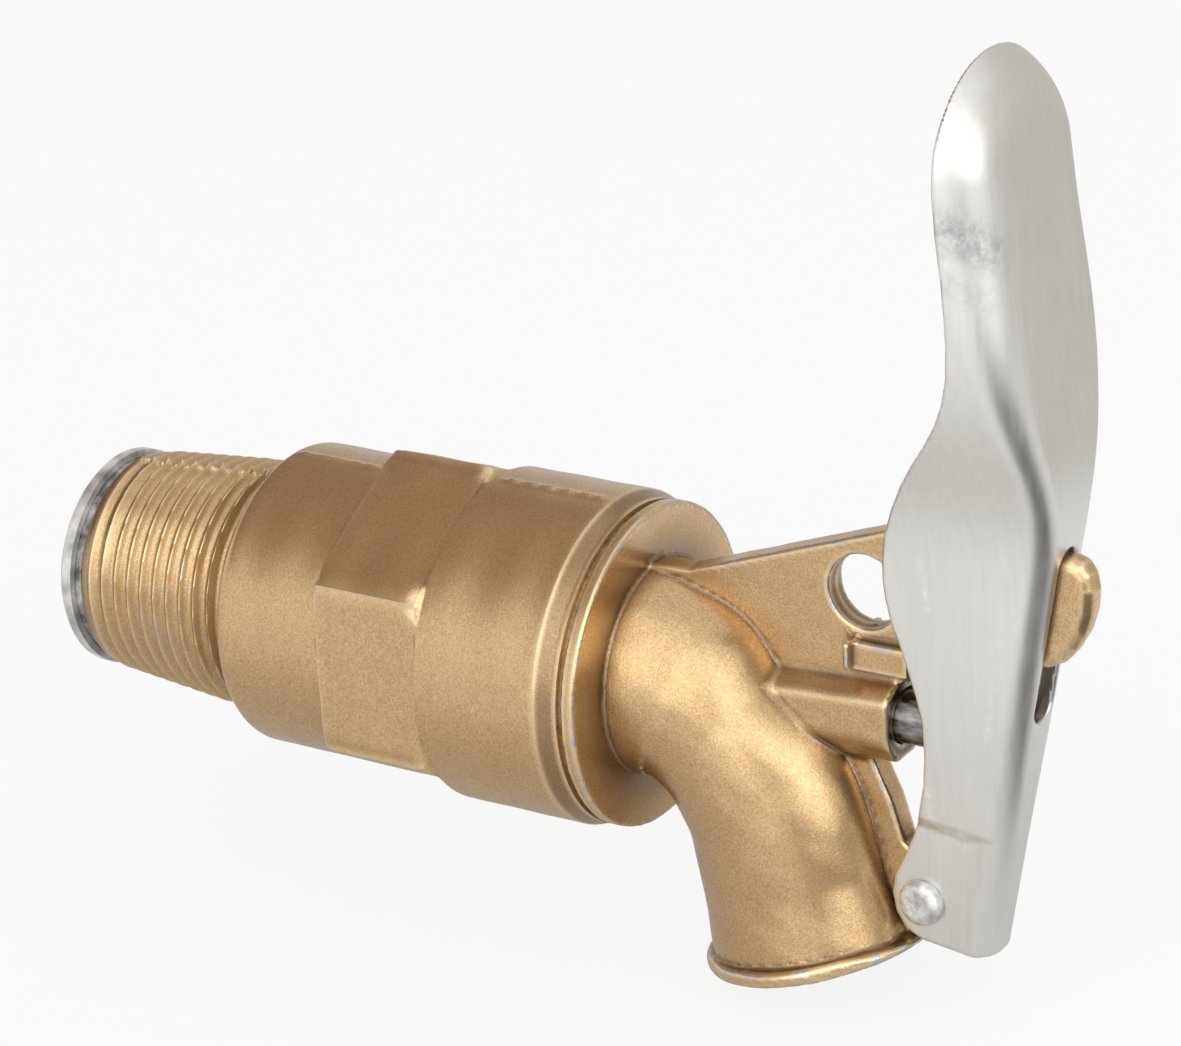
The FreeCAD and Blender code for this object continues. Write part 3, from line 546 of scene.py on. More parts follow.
# Spout casting: flange disc with its spigot, elbow and spout with a bead round the mouth, the web with the
# padlock hole, the arm and tongue, the boss for the stem, the fin and the lug. One zinc casting, lacquered
# like the inlet. Its skin is the zero surface of a distance field, so that all parts blend in soft fillets.
DISC_X, FACE_X, DISC_R = 42.9, 44.4, 16.8
SPIGOT_START_X, SPIGOT_R, SPIGOT_BORE_R = 35.4, 15.0, 12.4
SPOUT_WALL = 2.2
ELBOW_OUT_X, ELBOW_OUT_Z = 0.643, 0.766
MOUTH, MOUTH_TILT = np.array([62.6, -26.9]), 14.0
BEAD_R, BEAD_T, BEAD_SHIFT = 12.5, 1.6, 0.6
BEAD_RELIEF_X, BEAD_RELIEF_Z = 62.6, -23.3
WEB_HALF_T = 1.5
LOCK_HOLE_X, LOCK_HOLE_Z, LOCK_HOLE_R = 68.9, 13.0, 3.9
BOSS_START_X, BOSS_END_X, BOSS_HALF_W, BOSS_HALF_H = 55.4, 72.6, 4.1, 4.5
STEM_BORE_R = 2.78
# Flats of the boss: shares of y and z in the way they face, and distance from the stem's axis
BOSS_TOP_FLAT, BOSS_LOW_FLAT, BOSS_TOP_RISE = (0.461, 0.887, 4.108), (0.789, -0.614, 4.34), 0.05
# Bars across the web: middle (x, z), half length, half height and half width
PAD, POST = (71.2, 6.6, 3.0, 1.5, 2.7), (67.9, 6.8, 0.36, 1.45, 3.7)
PIVOT_X, PIVOT_Z, LUG_R, RIVET_HOLE_R = 75.6, -18.4, 3.2, 1.56
# Centre (x, z), slope below the x axis in degrees, and radius of the spout's sections
SPOUT_SECTIONS = np.array([
    [41.4, 0.0, 0.0, 11.2], [43.4, 0.0, 0.0, 11.2], [49.0, -1.0, 16.0, 10.9], [54.0, -4.6, 40.0, 10.3],
    [58.0, -10.3, 61.0, 10.3], [60.42, -18.17, 76.0, 10.5], [62.6, -26.9, 76.0, 11.2],
    [64.05, -32.72, 76.0, 11.3],
])
WEB_OUTLINE = np.array([
    [43.4, -2.0], [43.4, 11.5], [49.1, 11.8], [71.4, 19.9], [73.8, 20.45], [76.4, 20.6], [83.0, 20.5],
    [89.6, 20.35], [91.2, 20.4], [92.3, 20.0], [93.1, 18.9], [93.45, 17.2], [93.3, 15.0], [92.6, 12.8],
    [91.5, 10.8], [90.2, 9.3], [88.6, 8.5], [85.0, 8.1], [81.6, 7.5], [78.0, 6.2], [74.4, 4.6],
    [69.4, 3.0], [59.4, -2.0],
])
FIN_OUTLINE = np.array([
    [63.4, -2.0], [69.2, -4.2], [70.3, -6.5], [71.4, -8.9], [72.3, -11.6], [72.8, -13.2],
    [PIVOT_X, PIVOT_Z + LUG_R], [77.9, -16.2], [78.8, -18.4], [77.9, -20.6], [PIVOT_X, PIVOT_Z - LUG_R],
    [72.0, -23.4], [63.4, -20.0],
])


def both(a, b, soft):
    """Smooth maximum of two distances: what lies in both solids, with the edge rounded over a width."""
    h = np.maximum(soft - np.abs(a - b), 0.0) / soft
    return np.maximum(a, b) + h * h * soft * 0.25


def either(a, b, soft):
    """Smooth minimum of two distances: both solids together, with a fillet of about that width."""
    h = np.maximum(soft - np.abs(a - b), 0.0) / soft
    return np.minimum(a, b) - h * h * soft * 0.25


def rounded_both(a, b, radius):
    """What lies in both solids, with the edge where they meet rounded to a true radius."""
    a, b = a + radius, b + radius
    return np.minimum(np.maximum(a, b), 0.0) + np.hypot(np.maximum(a, 0.0), np.maximum(b, 0.0)) - radius


def to_line(u, v, start, end):
    """Share of the way along a straight line at its point nearest to (u, v), and the squared distance."""
    (u0, v0), (u1, v1) = start, end
    du, dv = u1 - u0, v1 - v0
    along = np.clip(((u - u0) * du + (v - v0) * dv) / (du * du + dv * dv), 0.0, 1.0)
    return along, (u - u0 - along * du) ** 2 + (v - v0 - along * dv) ** 2


def outline_distance(outline, u, v):
    """Signed distance from points to a closed outline: to its nearest side, negative inside, where a ray
    along u crosses the outline an odd number of times."""
    nearest = np.full(u.shape, 1e9)
    inside = np.zeros(u.shape, bool)
    for start, end in zip(outline, np.roll(outline, -1, 0)):
        nearest = np.minimum(nearest, to_line(u, v, start, end)[1])
        (u0, v0), (u1, v1) = start, end
        if v1 != v0:
            inside ^= ((v0 > v) != (v1 > v)) & (u < u0 + (v - v0) * (u1 - u0) / (v1 - v0))
    return np.where(inside, -1.0, 1.0) * np.sqrt(nearest)


def even_grid(low, high, step):
    """Coordinates of an even grid between two corners."""
    u = np.arange(low[0], high[0] + step, step)
    v = np.arange(low[1], high[1] + step, step)
    return np.meshgrid(u, v, indexing="ij")


def outline_table(outline, low, high, step):
    """Distances to an outline on an even grid."""
    return outline_distance(outline, *even_grid(low, high, step)), low, step


def look_up(table, u, v):
    """Value of a table, blended between its four nearest entries."""
    values, low, step = table
    i = np.clip((u - low[0]) / step, 0, values.shape[0] - 1.001)
    j = np.clip((v - low[1]) / step, 0, values.shape[1] - 1.001)
    i0, j0 = i.astype(int), j.astype(int)
    s, t = i - i0, j - j0
    near = values[i0, j0] * (1 - t) + values[i0, j0 + 1] * t
    far = values[i0 + 1, j0] * (1 - t) + values[i0 + 1, j0 + 1] * t
    return near * (1 - s) + far * s


def spout_centre_line(count):
    """Points (x, z) and radii along the spout: cubic curves between the sections, along their slopes."""
    x, z, slope, radius = SPOUT_SECTIONS.T
    lengths = np.hypot(np.diff(x), np.diff(z))
    heading = np.stack([np.cos(np.radians(slope)), -np.sin(np.radians(slope))], -1)
    t = np.linspace(0, 1, count, endpoint=False)[:, None]
    pieces, radii = [], []
    for k, length in enumerate(lengths):
        a, b = SPOUT_SECTIONS[k, :2], SPOUT_SECTIONS[k + 1, :2]
        curve = (2 * t ** 3 - 3 * t ** 2 + 1) * a + (t ** 3 - 2 * t ** 2 + t) * heading[k] * length
        curve = curve + (3 * t ** 2 - 2 * t ** 3) * b + (t ** 3 - t ** 2) * heading[k + 1] * length
        pieces.append(curve)
        radii.append(radius[k] + (radius[k + 1] - radius[k]) * smooth_step(0, 1, t[:, 0]))
    return np.concatenate(pieces), np.concatenate(radii)


def spout_tables():
    """Tables over the plane of symmetry: squared distance to the spout's centre line, and the radius at
    the nearest point of it."""
    line, radii = spout_centre_line(24)
    low, high, step = (30.0, -40.0), (98.0, 30.0), 0.25
    u, v = even_grid(low, high, step)
    nearest = np.full(u.shape, 1e9)
    radius = np.zeros(u.shape)
    for start, end, r0, r1 in zip(line[:-1], line[1:], radii[:-1], radii[1:]):
        along, squared = to_line(u, v, start, end)
        closer = squared < nearest
        nearest = np.where(closer, squared, nearest)
        radius = np.where(closer, r0 + (r1 - r0) * along, radius)
    return (nearest, low, step), (radius, low, step)


SPOUT_NEAR, SPOUT_RADIUS = spout_tables()
PLATES_LOW, PLATES_HIGH = (38.0, -30.0), (100.0, 26.0)
WEB_TABLE = outline_table(WEB_OUTLINE, PLATES_LOW, PLATES_HIGH, 0.15)
FIN_TABLE = outline_table(FIN_OUTLINE, PLATES_LOW, PLATES_HIGH, 0.15)


def cross_bar(x, y, z, bar, edge_r):
    """Distance to a straight bar across the web, with its ends' edges rounded."""
    middle_x, middle_z, half_x, half_z, half_y = bar
    side = np.maximum(np.abs(x - middle_x) - half_x, np.abs(z - middle_z) - half_z)
    return rounded_both(side, y - half_y, edge_r)


def spout_field(p):
    """Signed distance to the spout casting at points in millimetres: disc, spigot, tube, bead, plates and
    boss joined with fillets, less the passage, the stem's bore and the two cross holes. The tube is a
    little flatter on the elbow's outer side, and the whole skin is slightly uneven, as cast."""
    x, y, z = p[..., 0], np.abs(p[..., 1]), p[..., 2]
    ring = np.hypot(p[..., 1], z)
    in_disc = np.abs(x - 0.5 * (DISC_X + FACE_X)) - 0.5 * (FACE_X - DISC_X)
    disc = rounded_both(in_disc, ring - DISC_R, 0.3)
    spigot = rounded_both(np.maximum(SPIGOT_START_X - x, x - FACE_X + 0.4), ring - SPIGOT_R, 0.3)

    squared, radius = look_up(SPOUT_NEAR, x, z), look_up(SPOUT_RADIUS, x, z)
    from_line = np.sqrt(squared + y * y)
    tilt = math.radians(90.0 - MOUTH_TILT)
    out_u, out_v = math.cos(tilt), -math.sin(tilt)
    du, dv = x - MOUTH[0], z - MOUTH[1]
    depth = du * out_u + dv * out_v
    across = -du * out_v + dv * out_u
    outward = ELBOW_OUT_X * (x - 54.0) + ELBOW_OUT_Z * (z + 4.6)
    along_elbow = ELBOW_OUT_Z * (x - 55.0) - ELBOW_OUT_X * (z + 4.6)
    flatter = 1.1 * smooth_step(4.5, 10.0, outward) * bell(along_elbow, 0.0, 5.0)
    tube = both(both(from_line - radius + flatter, depth, 0.5), DISC_X - x, 0.4)
    bead_r = BEAD_R - 0.55 * smooth_step(2.0, 10.0, across)
    in_bead = np.abs(depth + 0.5 * BEAD_T) - 0.5 * BEAD_T
    bead = rounded_both(in_bead, np.hypot(across - BEAD_SHIFT, y) - bead_r, 0.62)
    bead = both(bead, -np.maximum(BEAD_RELIEF_X - x, BEAD_RELIEF_Z - z), 0.4)

    on_tongue = smooth_step(86.0, 89.0, x)
    web_side = y - WEB_HALF_T - 0.12 * on_tongue
    web = rounded_both(look_up(WEB_TABLE, x, z), web_side, 0.4 + 0.95 * on_tongue)
    fin = rounded_both(look_up(FIN_TABLE, x, z), y - WEB_HALF_T, 0.4)
    (top_y, top_z, top_far), (low_y, low_z, low_far) = BOSS_TOP_FLAT, BOSS_LOW_FLAT
    top_flat = top_y * y + top_z * z - top_far - BOSS_TOP_RISE * (x - 66.0)
    boss = both(y - BOSS_HALF_W, top_flat, 0.6)
    boss = both(boss, low_y * y + low_z * z - low_far, 0.6)
    boss = both(boss, np.abs(z) - BOSS_HALF_H, 0.6)
    boss = rounded_both(boss, np.maximum(BOSS_START_X - x, x - BOSS_END_X), 0.35)
    pad, post = cross_bar(x, y, z, PAD, 0.25), cross_bar(x, y, z, POST, 0.3)

    solid = np.minimum(either(disc, tube, 0.3), spigot)
    solid = either(solid, bead, 0.5)
    solid = either(solid, either(web, fin, 0.6), 0.45)
    solid = either(solid, either(either(boss, pad, 0.3), post, 0.3), 0.7)

    throat_r = np.interp(x, [40.9, 43.4], [SPIGOT_BORE_R, SPOUT_SECTIONS[0, 3] - SPOUT_WALL])
    passage = np.minimum(from_line - radius + SPOUT_WALL, np.maximum(ring - throat_r, x - 43.6))
    solid = both(solid, -passage, 0.4)
    solid = both(solid, -np.maximum(ring - STEM_BORE_R, 49.4 - x), 0.3)
    flash = 0.16 * bell(y, 0.0, 0.25)
    solid = both(solid, -(np.hypot(x - LOCK_HOLE_X, z - LOCK_HOLE_Z) - LOCK_HOLE_R + flash), 0.35)
    solid = both(solid, -(np.hypot(x - PIVOT_X, z - PIVOT_Z) - RIVET_HOLE_R), 0.2)
    uneven = np.sin(0.83 * x + 1.1) * np.sin(0.71 * y + 0.64 * z + 0.4) + 0.6 * np.sin(1.7 * z + 0.9 * x)
    return solid + 0.02 * uneven


CORNERS = np.array([[i, j, k] for i in (0, 1) for j in (0, 1) for k in (0, 1)])
CELL_EDGES = [(a, a | step) for a in range(8) for step in (1, 2, 4) if not a & step]


def net_surface(field, low, high, cell):
    """Net over the zero surface of a field that is the same on both sides of y = 0. Each mixed cell of an
    even grid gets one point, the mean of the crossings on its edges, and each crossed grid edge gets a face
    between the four cells round it."""
    xs = np.arange(low[0], high[0], cell)
    ys = np.arange(0.5 * cell, high[1], cell)
    zs = np.arange(low[2], high[2], cell)
    half = field(np.stack(np.meshgrid(xs, ys, zs, indexing="ij"), -1))
    values = np.concatenate([half[:, ::-1], half], 1)
    start = np.array([xs[0], -ys[-1], zs[0]])
    inside = values < 0
    sizes = np.array(values.shape) - 1
    parts = [inside[i:i + sizes[0], j:j + sizes[1], k:k + sizes[2]] for i, j, k in CORNERS]
    count = np.sum(parts, 0)
    cells = np.argwhere((count > 0) & (count < 8))
    number = np.full(sizes, -1)
    number[tuple(cells.T)] = np.arange(len(cells))
    at = np.stack([values[tuple((cells + corner).T)] for corner in CORNERS], -1)
    total, hits = np.zeros((len(cells), 3)), np.zeros((len(cells), 1))
    for a, b in CELL_EDGES:
        crossed = (at[:, a] < 0) != (at[:, b] < 0)
        share = at[crossed, a] / (at[crossed, a] - at[crossed, b])
        total[crossed] += CORNERS[a] + share[:, None] * (CORNERS[b] - CORNERS[a])
        hits[crossed] += 1
    points = start + (cells + total / hits) * cell
    faces = []
    steps = np.eye(3, dtype=int)
    for axis in range(3):
        first, second = steps[(axis + 1) % 3], steps[(axis + 2) % 3]
        here = tuple(slice(0, -1) if k == axis else slice(1, -1) for k in range(3))
        after = tuple(slice(1, None) if k == axis else slice(1, -1) for k in range(3))
        a, b = inside[here], inside[after]
        edge = np.argwhere(a != b) + first + second
        outward = a[a != b]
        ring = [edge - first - second, edge - second, edge, edge - first]
        quad = np.stack([number[tuple(corner.T)] for corner in ring], -1)
        faces.append(np.where(outward[:, None], quad, quad[:, ::-1]))
    return points, np.concatenate(faces)


def slope_of(field, p, step):
    """Gradient of a field by differences, and its second difference, which is high on sharp outer edges."""
    ahead = [field(p + step * axis) for axis in np.eye(3)]
    behind = [field(p - step * axis) for axis in np.eye(3)]
    gradient = np.stack([(a - b) / (2 * step) for a, b in zip(ahead, behind)], -1)
    return gradient, sum(ahead) + sum(behind)


def field_mesh(name, field, low, high, cell, more_shade=None):
    """Mesh on a field's zero surface: the net's points are pulled onto it along the gradient, which also
    gives the normals. The second difference gives the wear and sheen on edges and the painted shade in
    hollows, and more_shade is a function of the points that adds painted shade of its own."""
    pull_step, normal_step, bend_step, farthest = 0.04, 0.06, 0.45, 0.3 * cell
    points, faces = net_surface(field, low, high, cell)
    for _ in range(3):
        gradient, _ = slope_of(field, points, pull_step)
        size = np.maximum((gradient ** 2).sum(-1, keepdims=True), 0.2)
        points = points - np.clip(field(points)[:, None] / size, -farthest, farthest) * gradient
    gradient, _ = slope_of(field, points, normal_step)
    normals = gradient / np.linalg.norm(gradient, axis=1, keepdims=True)
    _, around = slope_of(field, points, bend_step)
    bend = (around - 6 * field(points)) / bend_step ** 2
    obj = put_mesh(name, points * MM, faces, normals=normals)
    add_value(obj, "wear_and_sheen", smooth_step(0.25, 1.5, bend))
    painted_shade = smooth_step(0.15, 1.2, -bend)
    add_value(obj, "painted_shade", painted_shade if more_shade is None else np.maximum(painted_shade, more_shade(points)))
    return obj


def spout_painted_dark(p):
    """Painted shade on the casting beyond its hollows: round the stem at the boss's end, inside the padlock
    hole, and on the disc beside the elbow."""
    x, y, z = p.T
    ring = np.hypot(y, z)
    end = smooth_step(72.0, 72.4, x) * (1 - smooth_step(3.6, 4.6, ring)) * (x < 74)
    from_hole = np.hypot(x - LOCK_HOLE_X, z - LOCK_HOLE_Z) - LOCK_HOLE_R
    hole = 0.9 * bell(from_hole, 0.0, 0.45) * (1 - smooth_step(1.0, 1.5, np.abs(y)))
    beside = 0.95 * (1 - smooth_step(11.3, 16.3, ring)) * smooth_step(44.1, 44.3, x) * (x < 44.6)
    return np.maximum(np.maximum(1.5 * end, hole), beside)


spout_casting = field_mesh(
    "spout_casting", spout_field, (34.6, -17.8, -31.2), (94.6, 17.8, 21.6), 0.4, spout_painted_dark)
spout_casting.data.materials.append(gold_lacquer("spout_lacquer", wear_amount=0.40, patch_scale=700.0))
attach(spout_casting, "tap_body")
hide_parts("spout_body")


# Handle: a channel pressed from aluminium sheet, with a dished thumb end, a slot for the tongue and two
# pressed-in ears for the rivet. Brushed lengthwise, then scuffed. Its skin is a distance field as well.
SHEET = 1.2
FOOT_Z, BELOW_FOOT_Z, FOOT_FRONT_X = -23.5, -40.0, 83.0
LEAN, TOP_LEAN = math.radians(9.6), math.radians(-6.7)
BEND_START_Z, BEND_R = 19.5, 46.0
SPOON_HALF_W, SPOON_CENTRE_Z, SPOON_TOP_Z, SPOON_CROWN = 11.4, 59.1, 72.6, 3.6
EAR_OUTSIDE, EAR_TOP_Z, EAR_TOP_SLOPE, EAR_SETBACK, EAR_HOLE_R = 2.95, -9.4, 0.12, 2.7, 1.5
EDGE_R, SPOON_EDGE_GAIN = 2.6, 3.6
SLOT_HALF_W, SLOT_BOTTOM_Z, SLOT_TOP_Z = 1.9, 2.3, 20.95
REAR_EDGE = np.array([
    [75.6, -22.85], [73.6, -22.0], [72.45, -20.2], [72.1, -18.2], [72.4, -16.2], [73.2, -14.6],
    [74.4, -11.8], [75.5, -8.7], [76.2, -5.2], [76.45, -1.8], [76.35, 1.6], [75.7, 4.6], [74.9, 7.3],
    [74.15, 9.7], [73.4, 11.6], [72.9, 13.8], [72.6, 16.2], [72.65, 18.6], [73.1, 21.2], [74.1, 24.0],
    [75.6, 27.0], [77.4, 29.8], [79.2, 32.3], [80.8, 34.8], [82.0, 37.4], [82.8, 40.2], [83.15, 43.5],
    [83.15, 46.4], [82.9, 50.0], [82.4, 54.0], [82.1, 58.0], [82.1, 62.0], [82.3, 66.0], [82.5, 70.0],
    [82.6, 75.0],
])
HALF_WIDTH = np.array([
    [2.75, -40.0], [3.1, -27.5], [3.25, -20.0], [3.45, -12.0], [3.7, -7.7], [4.0, -2.5], [4.25, 2.0],
    [4.45, 8.0], [4.6, 14.0], [4.72, 18.5], [5.0, 22.0], [5.6, 25.0], [6.5, 27.8], [7.7, 30.8],
    [9.0, 34.2], [10.1, 37.8], [10.9, 41.6], [11.3, 45.2], [11.4, 48.5], [11.4, 53.0],
])


def front_x(z):
    """Where the handle's front wall stands at a height, below its bend."""
    return FOOT_FRONT_X + (z - FOOT_Z) * math.tan(LEAN)


def front_line():
    """Outline of the handle's front seen from the side: a leaning line, a bend, a line leaning the other
    way and a rounded tip."""
    start = np.array([front_x(BEND_START_Z), BEND_START_Z])
    centre = start - np.array([math.cos(LEAN), -math.sin(LEAN)]) * BEND_R
    turn = np.linspace(LEAN, TOP_LEAN, 24)
    bend = centre + np.stack([np.cos(turn), -np.sin(turn)], -1) * BEND_R
    along = np.array([math.sin(TOP_LEAN), math.cos(TOP_LEAN)])
    knee = bend[-1] + along * (SPOON_CENTRE_Z - bend[-1, 1]) / along[1]
    crown = np.array([knee[0] - SPOON_CROWN, SPOON_TOP_Z])
    pull = knee + along * 0.6 * (crown[1] - knee[1])
    t = np.linspace(0, 1, 16)[:, None]
    tip = (1 - t) ** 2 * knee + 2 * t * (1 - t) * pull + t ** 2 * crown
    beyond = crown + (crown - pull) * 2
    behind = [[30.0, beyond[1]], [30.0, BELOW_FOOT_Z]]
    return np.vstack([[[front_x(BELOW_FOOT_Z), BELOW_FOOT_Z]], bend, tip, [beyond], behind])


def widths_outline():
    """Outline of the handle seen from the front, with a half round top. Its sides run through the listed
    half widths and are smoothed by two moving averages, so that no corner shows in reflections."""
    heights = np.arange(BELOW_FOOT_Z, SPOON_CENTRE_Z, 0.6)
    half = np.interp(heights, HALF_WIDTH[:, 1], HALF_WIDTH[:, 0])
    for _ in range(2):
        half = np.convolve(np.pad(half, 4, mode="edge"), np.ones(9) / 9, "valid")
    sides = np.stack([half, heights], -1)
    turn = np.radians(np.linspace(0, 180, 49))
    top = np.stack([SPOON_HALF_W * np.cos(turn), SPOON_CENTRE_Z + SPOON_HALF_W * np.sin(turn)], -1)
    return np.vstack([sides, top, sides[::-1] * [-1, 1]])


SOLE = np.array([[81.0, -23.5], [84.0, -23.4], [90.0, -22.0], [120.0, -22.0], [120.0, 75.0]])
HANDLE_LOW, HANDLE_HIGH = (64.0, -28.0), (97.0, 74.0)
FRONT_TABLE = outline_table(front_line(), HANDLE_LOW, HANDLE_HIGH, 0.2)
REAR_TABLE = outline_table(np.vstack([REAR_EDGE[::-1], SOLE]), HANDLE_LOW, HANDLE_HIGH, 0.15)
WIDTH_TABLE = outline_table(widths_outline(), (-0.4, -28.0), (14.0, 74.0), 0.2)


def handle_field(p):
    """Signed distance to the handle: the rounded overlap of its side view and its front view, hollowed to
    the sheet's thickness and trimmed along its rear edge, with ears pressed in, slot and rivet hole."""
    x, y, z = p[..., 0], np.abs(p[..., 1]), p[..., 2]
    side = look_up(FRONT_TABLE, x, z)
    width = look_up(WIDTH_TABLE, y, z)
    below_joggle = EAR_TOP_Z - EAR_TOP_SLOPE * (x - 75.0) - z
    in_ear = smooth_step(-0.9, 0.9, np.minimum(below_joggle, 0.4 * (front_x(z) - EAR_SETBACK - x)))
    width = width + (y - EAR_OUTSIDE - width) * in_ear
    form = rounded_both(side, width, EDGE_R + SPOON_EDGE_GAIN * smooth_step(26.0, 56.0, z))
    shell = both(form, -(form + SHEET), 0.25)
    shell = both(shell, look_up(REAR_TABLE, x, z), 0.5)
    middle = 0.5 * (SLOT_TOP_Z + SLOT_BOTTOM_Z)
    reach = 0.5 * (SLOT_TOP_Z - SLOT_BOTTOM_Z) - SLOT_HALF_W
    slot = np.hypot(y, np.maximum(np.abs(z - middle) - reach, 0.0)) - SLOT_HALF_W
    slot = np.maximum(slot, front_x(z) - 3 * SHEET - x)
    shell = both(shell, -slot, 0.3)
    return both(shell, EAR_HOLE_R - np.hypot(x - PIVOT_X, z - PIVOT_Z), 0.2)


def brushing_group():
    """Lengthwise brushing: noise drawn out along the handle, mixed with soft clouds. Puts out a share for
    the tone, which also lifts the surface, and a roughness."""
    tree, given = new_group("lengthwise_brushing", {
        "Across Scale": 1800.0,
    }, {"Share": "NodeSocketFloat", "Roughness": "NodeSocketFloat"})
    spot = node(tree, "ShaderNodeTexCoord").outputs["Object"]
    laid = node(tree, "ShaderNodeMapping", {
        "Vector": spot, "Rotation": (0.5, 0.7, 0.3), "Scale": (1, 1, 0.03),
    }).outputs[0]
    lines = full_noise(tree, laid, given["Across Scale"], 4.0, 0.6)
    clouds = full_noise(tree, spot, 70.0, 5.0)
    share = mixed(tree, 0.45, lines, clouds, "FLOAT")
    node(tree, "NodeGroupOutput", {
        "Share": share, "Roughness": stretched(tree, share, 0.0, 1.0, 0.34, 0.46),
    })
    return tree


lengthwise_brushing = brushing_group()
BRUSHED_DARK, BRUSHED_LIGHT = (0.71, 0.70, 0.67, 1), (0.80, 0.79, 0.76, 1)
SCUFF_GREY, RUBBED_WHITE_AND_HIGHLIGHT = (0.30, 0.31, 0.33, 1), (0.95, 0.95, 0.93, 1)


def handle_finish():
    """Satin aluminium: brushing, soft grey clouds, darker scuffs where the scuff value is high, and lighter
    rubbed marks and a painted highlight where the rub_and_highlight value is."""
    material, tree = new_material("brushed_aluminium")
    brushed = node(tree, "ShaderNodeGroup", node_tree=lengthwise_brushing).outputs
    spot = node(tree, "ShaderNodeTexCoord").outputs["Object"]
    broken = noise(tree, spot, 900.0, 5.0, 0.75)
    scuffs, rub_highlight_patches = stretched(tree, broken, 0.35, 0.65), stretched(tree, broken, 0.42, 0.62)
    scuffed = arithmetic(tree, "MULTIPLY", value_on_skin(tree, "scuff"), scuffs)
    rubbed = arithmetic(tree, "MULTIPLY", value_on_skin(tree, "rub_and_highlight"), rub_highlight_patches)
    tone = mixed(tree, brushed["Share"], BRUSHED_DARK, BRUSHED_LIGHT)
    tone = mixed(tree, scuffed, tone, SCUFF_GREY)
    tone = mixed(tree, rubbed, tone, RUBBED_WHITE_AND_HIGHLIGHT)
    share, roughness = brushed["Share"], brushed["Roughness"]
    lift = node(tree, "ShaderNodeBump", {"Strength": 0.35, "Distance": 0.00001, "Height": share})
    put_surface(tree, "ShaderNodeBsdfPrincipled", {
        "Base Color": tone, "Metallic": 1.0, "Roughness": roughness, "Normal": lift.outputs[0],
    })
    return material


def add_marks(obj, name, marks):
    """Value per vertex: the greatest of soft marks, each round a line between two points, with a reach and
    a strength."""
    points = np.empty(len(obj.data.vertices) * 3, np.float32)
    obj.data.vertices.foreach_get("co", points)
    points = points.reshape(-1, 3) / MM
    value = np.zeros(len(points))
    for start, end, reach, strength in marks:
        start, line = np.array(start), np.array(end) - np.array(start)
        along = np.clip((points - start) @ line / max(line @ line, 1e-6), 0, 1)[:, None]
        away = np.linalg.norm(points - start - along * line, axis=1)
        value = np.maximum(value, strength * bell(away, 0.0, reach))
    add_value(obj, name, value)


handle_shell = field_mesh("handle_shell", handle_field, (70.0, -12.4, -25.2), (92.6, 12.4, 72.6), 0.34)
# Marks: start, end, reach and strength
add_marks(handle_shell, "scuff", (
    ((83.6, -11.2, 55.0), (87.2, -9.8, 53.0), 2.2, 0.8),
    ((83.6, -11.2, 50.0), (87.0, -10.2, 48.5), 1.6, 0.35),
    ((82.9, -10.4, 66.0), (84.0, -8.8, 67.5), 0.9, 0.7),
))
add_marks(handle_shell, "rub_and_highlight", (
    ((85.6, -4.6, 23.5), (85.9, -4.3, 19.5), 0.5, 0.9),
    ((85.9, -4.3, 19.5), (83.6, -4.0, 1.5), 0.35, 0.7),
    ((84.6, -5.2, 26.5), (85.6, -4.6, 23.5), 0.35, 0.6),
    ((76.9, -4.6, 19.0), (77.6, -4.6, 14.0), 0.3, 0.6),
    ((76.6, -3.9, -4.0), (76.9, -3.8, -9.0), 0.4, 0.9),
    # These two marks follow the top of the ears' pressed-in step: a painted highlight on its ridge. The other
    # marks are light rubbed lines.
    ((74.6, -3.5, -9.0), (79.9, -3.4, -9.9), 0.75, 1.0),
    ((79.9, -3.4, -9.9), (80.6, -3.3, -11.6), 0.6, 0.7),
))
handle_shell.data.materials.append(handle_finish())
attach(handle_shell, "handle")
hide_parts("handle_lever")


# Rivet: a pin of soft aluminium through the handle's ears and the lug, hammered over at both ends, so that
# its heads are low domes with a shallow dimple.
RIVET_COLUMNS = 64
RIVET_HEAD = np.array([
    [4.14, 0.0], [4.14, 0.3], [4.17, 0.62], [4.21, 0.92], [4.22, 1.2], [4.21, 1.5], [4.15, 1.8],
    [3.98, 2.1], [3.68, 2.32], [3.3, 2.4], [3.02, 2.36], [2.96, 2.3], [2.96, 1.49],
])


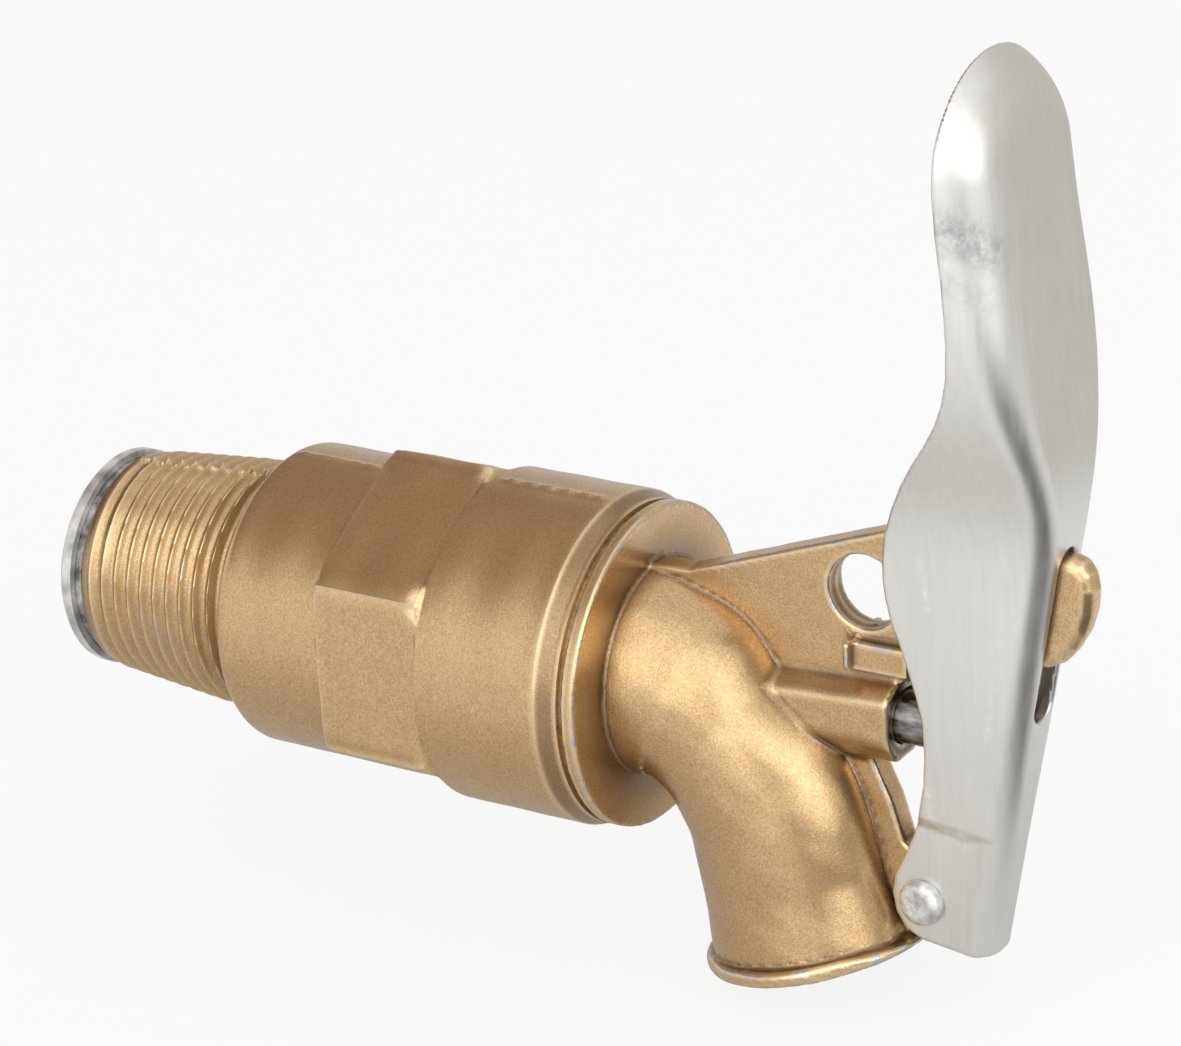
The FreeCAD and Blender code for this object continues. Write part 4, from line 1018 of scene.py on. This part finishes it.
def rivet_mesh():
    """Skin of the rivet: the outline of places along y and radii, of both heads and the pin between them,
    swept round the pivot and closed by a fan of faces at both ends."""
    outline = np.vstack([RIVET_HEAD * [-1, 1], RIVET_HEAD[::-1]])
    turn = np.linspace(0, 2 * np.pi, RIVET_COLUMNS, endpoint=False)
    along, radius = outline[1:-1, :1], outline[1:-1, 1:]
    rings = [radius * np.sin(turn), np.repeat(along, RIVET_COLUMNS, 1), radius * np.cos(turn)]
    tips = [[0, outline[0, 0], 0], [0, outline[-1, 0], 0]]
    points = np.vstack([np.stack(rings, -1).reshape(-1, 3), tips])
    index = np.arange(radius.size * RIVET_COLUMNS).reshape(-1, RIVET_COLUMNS)
    after = np.roll(index, -1, 1)
    walls = np.stack([index[:-1], after[:-1], after[1:], index[1:]], -1).reshape(-1, 4)
    near_tip, far_tip = np.full((2, RIVET_COLUMNS), len(points) - 2) + [[0], [1]]
    fans = [np.stack([near_tip, after[0], index[0]], -1), np.stack([far_tip, index[-1], after[-1]], -1)]
    place = np.array([PIVOT_X, 0, PIVOT_Z])
    faces = [walls, np.concatenate(fans)]
    return put_mesh("hammered_rivet", (points + place) * MM, faces, sharp_angle=35)


rivet = rivet_mesh()
rivet.data.materials.append(plain_finish(
    "rivet_aluminium", (0.72, 0.72, 0.71), metallic=1.0, roughness=0.44, scale=800.0, depth=0.0002))
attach(rivet, "handle")
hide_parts("pivot_rivet")


# Valve stem: turned steel rod, dull and dark from its bath, rounded where the handle pushes and threaded
# at the drum end. Its clip and its seal ring sit in grooves inside the boss.
dark_steel = plain_finish(
    "dark_steel", (0.20, 0.195, 0.19), metallic=1.0, roughness=0.30, scale=1100.0, depth=0.00004,
    stretch=(0.4, 1.0, 1.0), spread=(0.2, 2.4))
bright_steel = plain_finish(
    "bright_steel", (0.62, 0.62, 0.62), metallic=1.0, roughness=0.34, scale=900.0, depth=0.00005)
black_rubber = plain_finish(
    "black_rubber", (0.030, 0.028, 0.026), metallic=0.0, roughness=0.62, scale=1100.0, depth=0.00006)
dress(["valve_stem"], dark_steel)
dress(["stem_clip"], bright_steel)
dress(["stem_o_ring"], black_rubber)


# Closing spring and the plates it works between: drawn wire and punched steel, all bright zinc plated.
# The spring stands on the guide plate and shortens by the stem's travel when the tap opens.
dress(["closing_spring", "stem_guide_plate", "spring_washer"], bright_steel)
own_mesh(nodes["closing_spring"])


# Valve at the drum end: a bright pressed cup holds a rubber disc against the nipple, clamped between a
# washer and a nut on the stem's thread.
cup_steel = plain_finish(
    "cup_steel", (0.80, 0.80, 0.79), metallic=0.65, roughness=0.40, scale=420.0, depth=0.00012,
    spread=(0.55, 1.2))
worn_rubber = plain_finish(
    "worn_rubber", (0.42, 0.415, 0.40), metallic=0.6, roughness=0.36, scale=620.0, depth=0.00015,
    spread=(0.12, 1.6))
dress(["valve_cup"], cup_steel)
dress(["valve_gasket"], worn_rubber)
dress(["gasket_backing_washer", "valve_lock_washer", "valve_nut"], bright_steel)
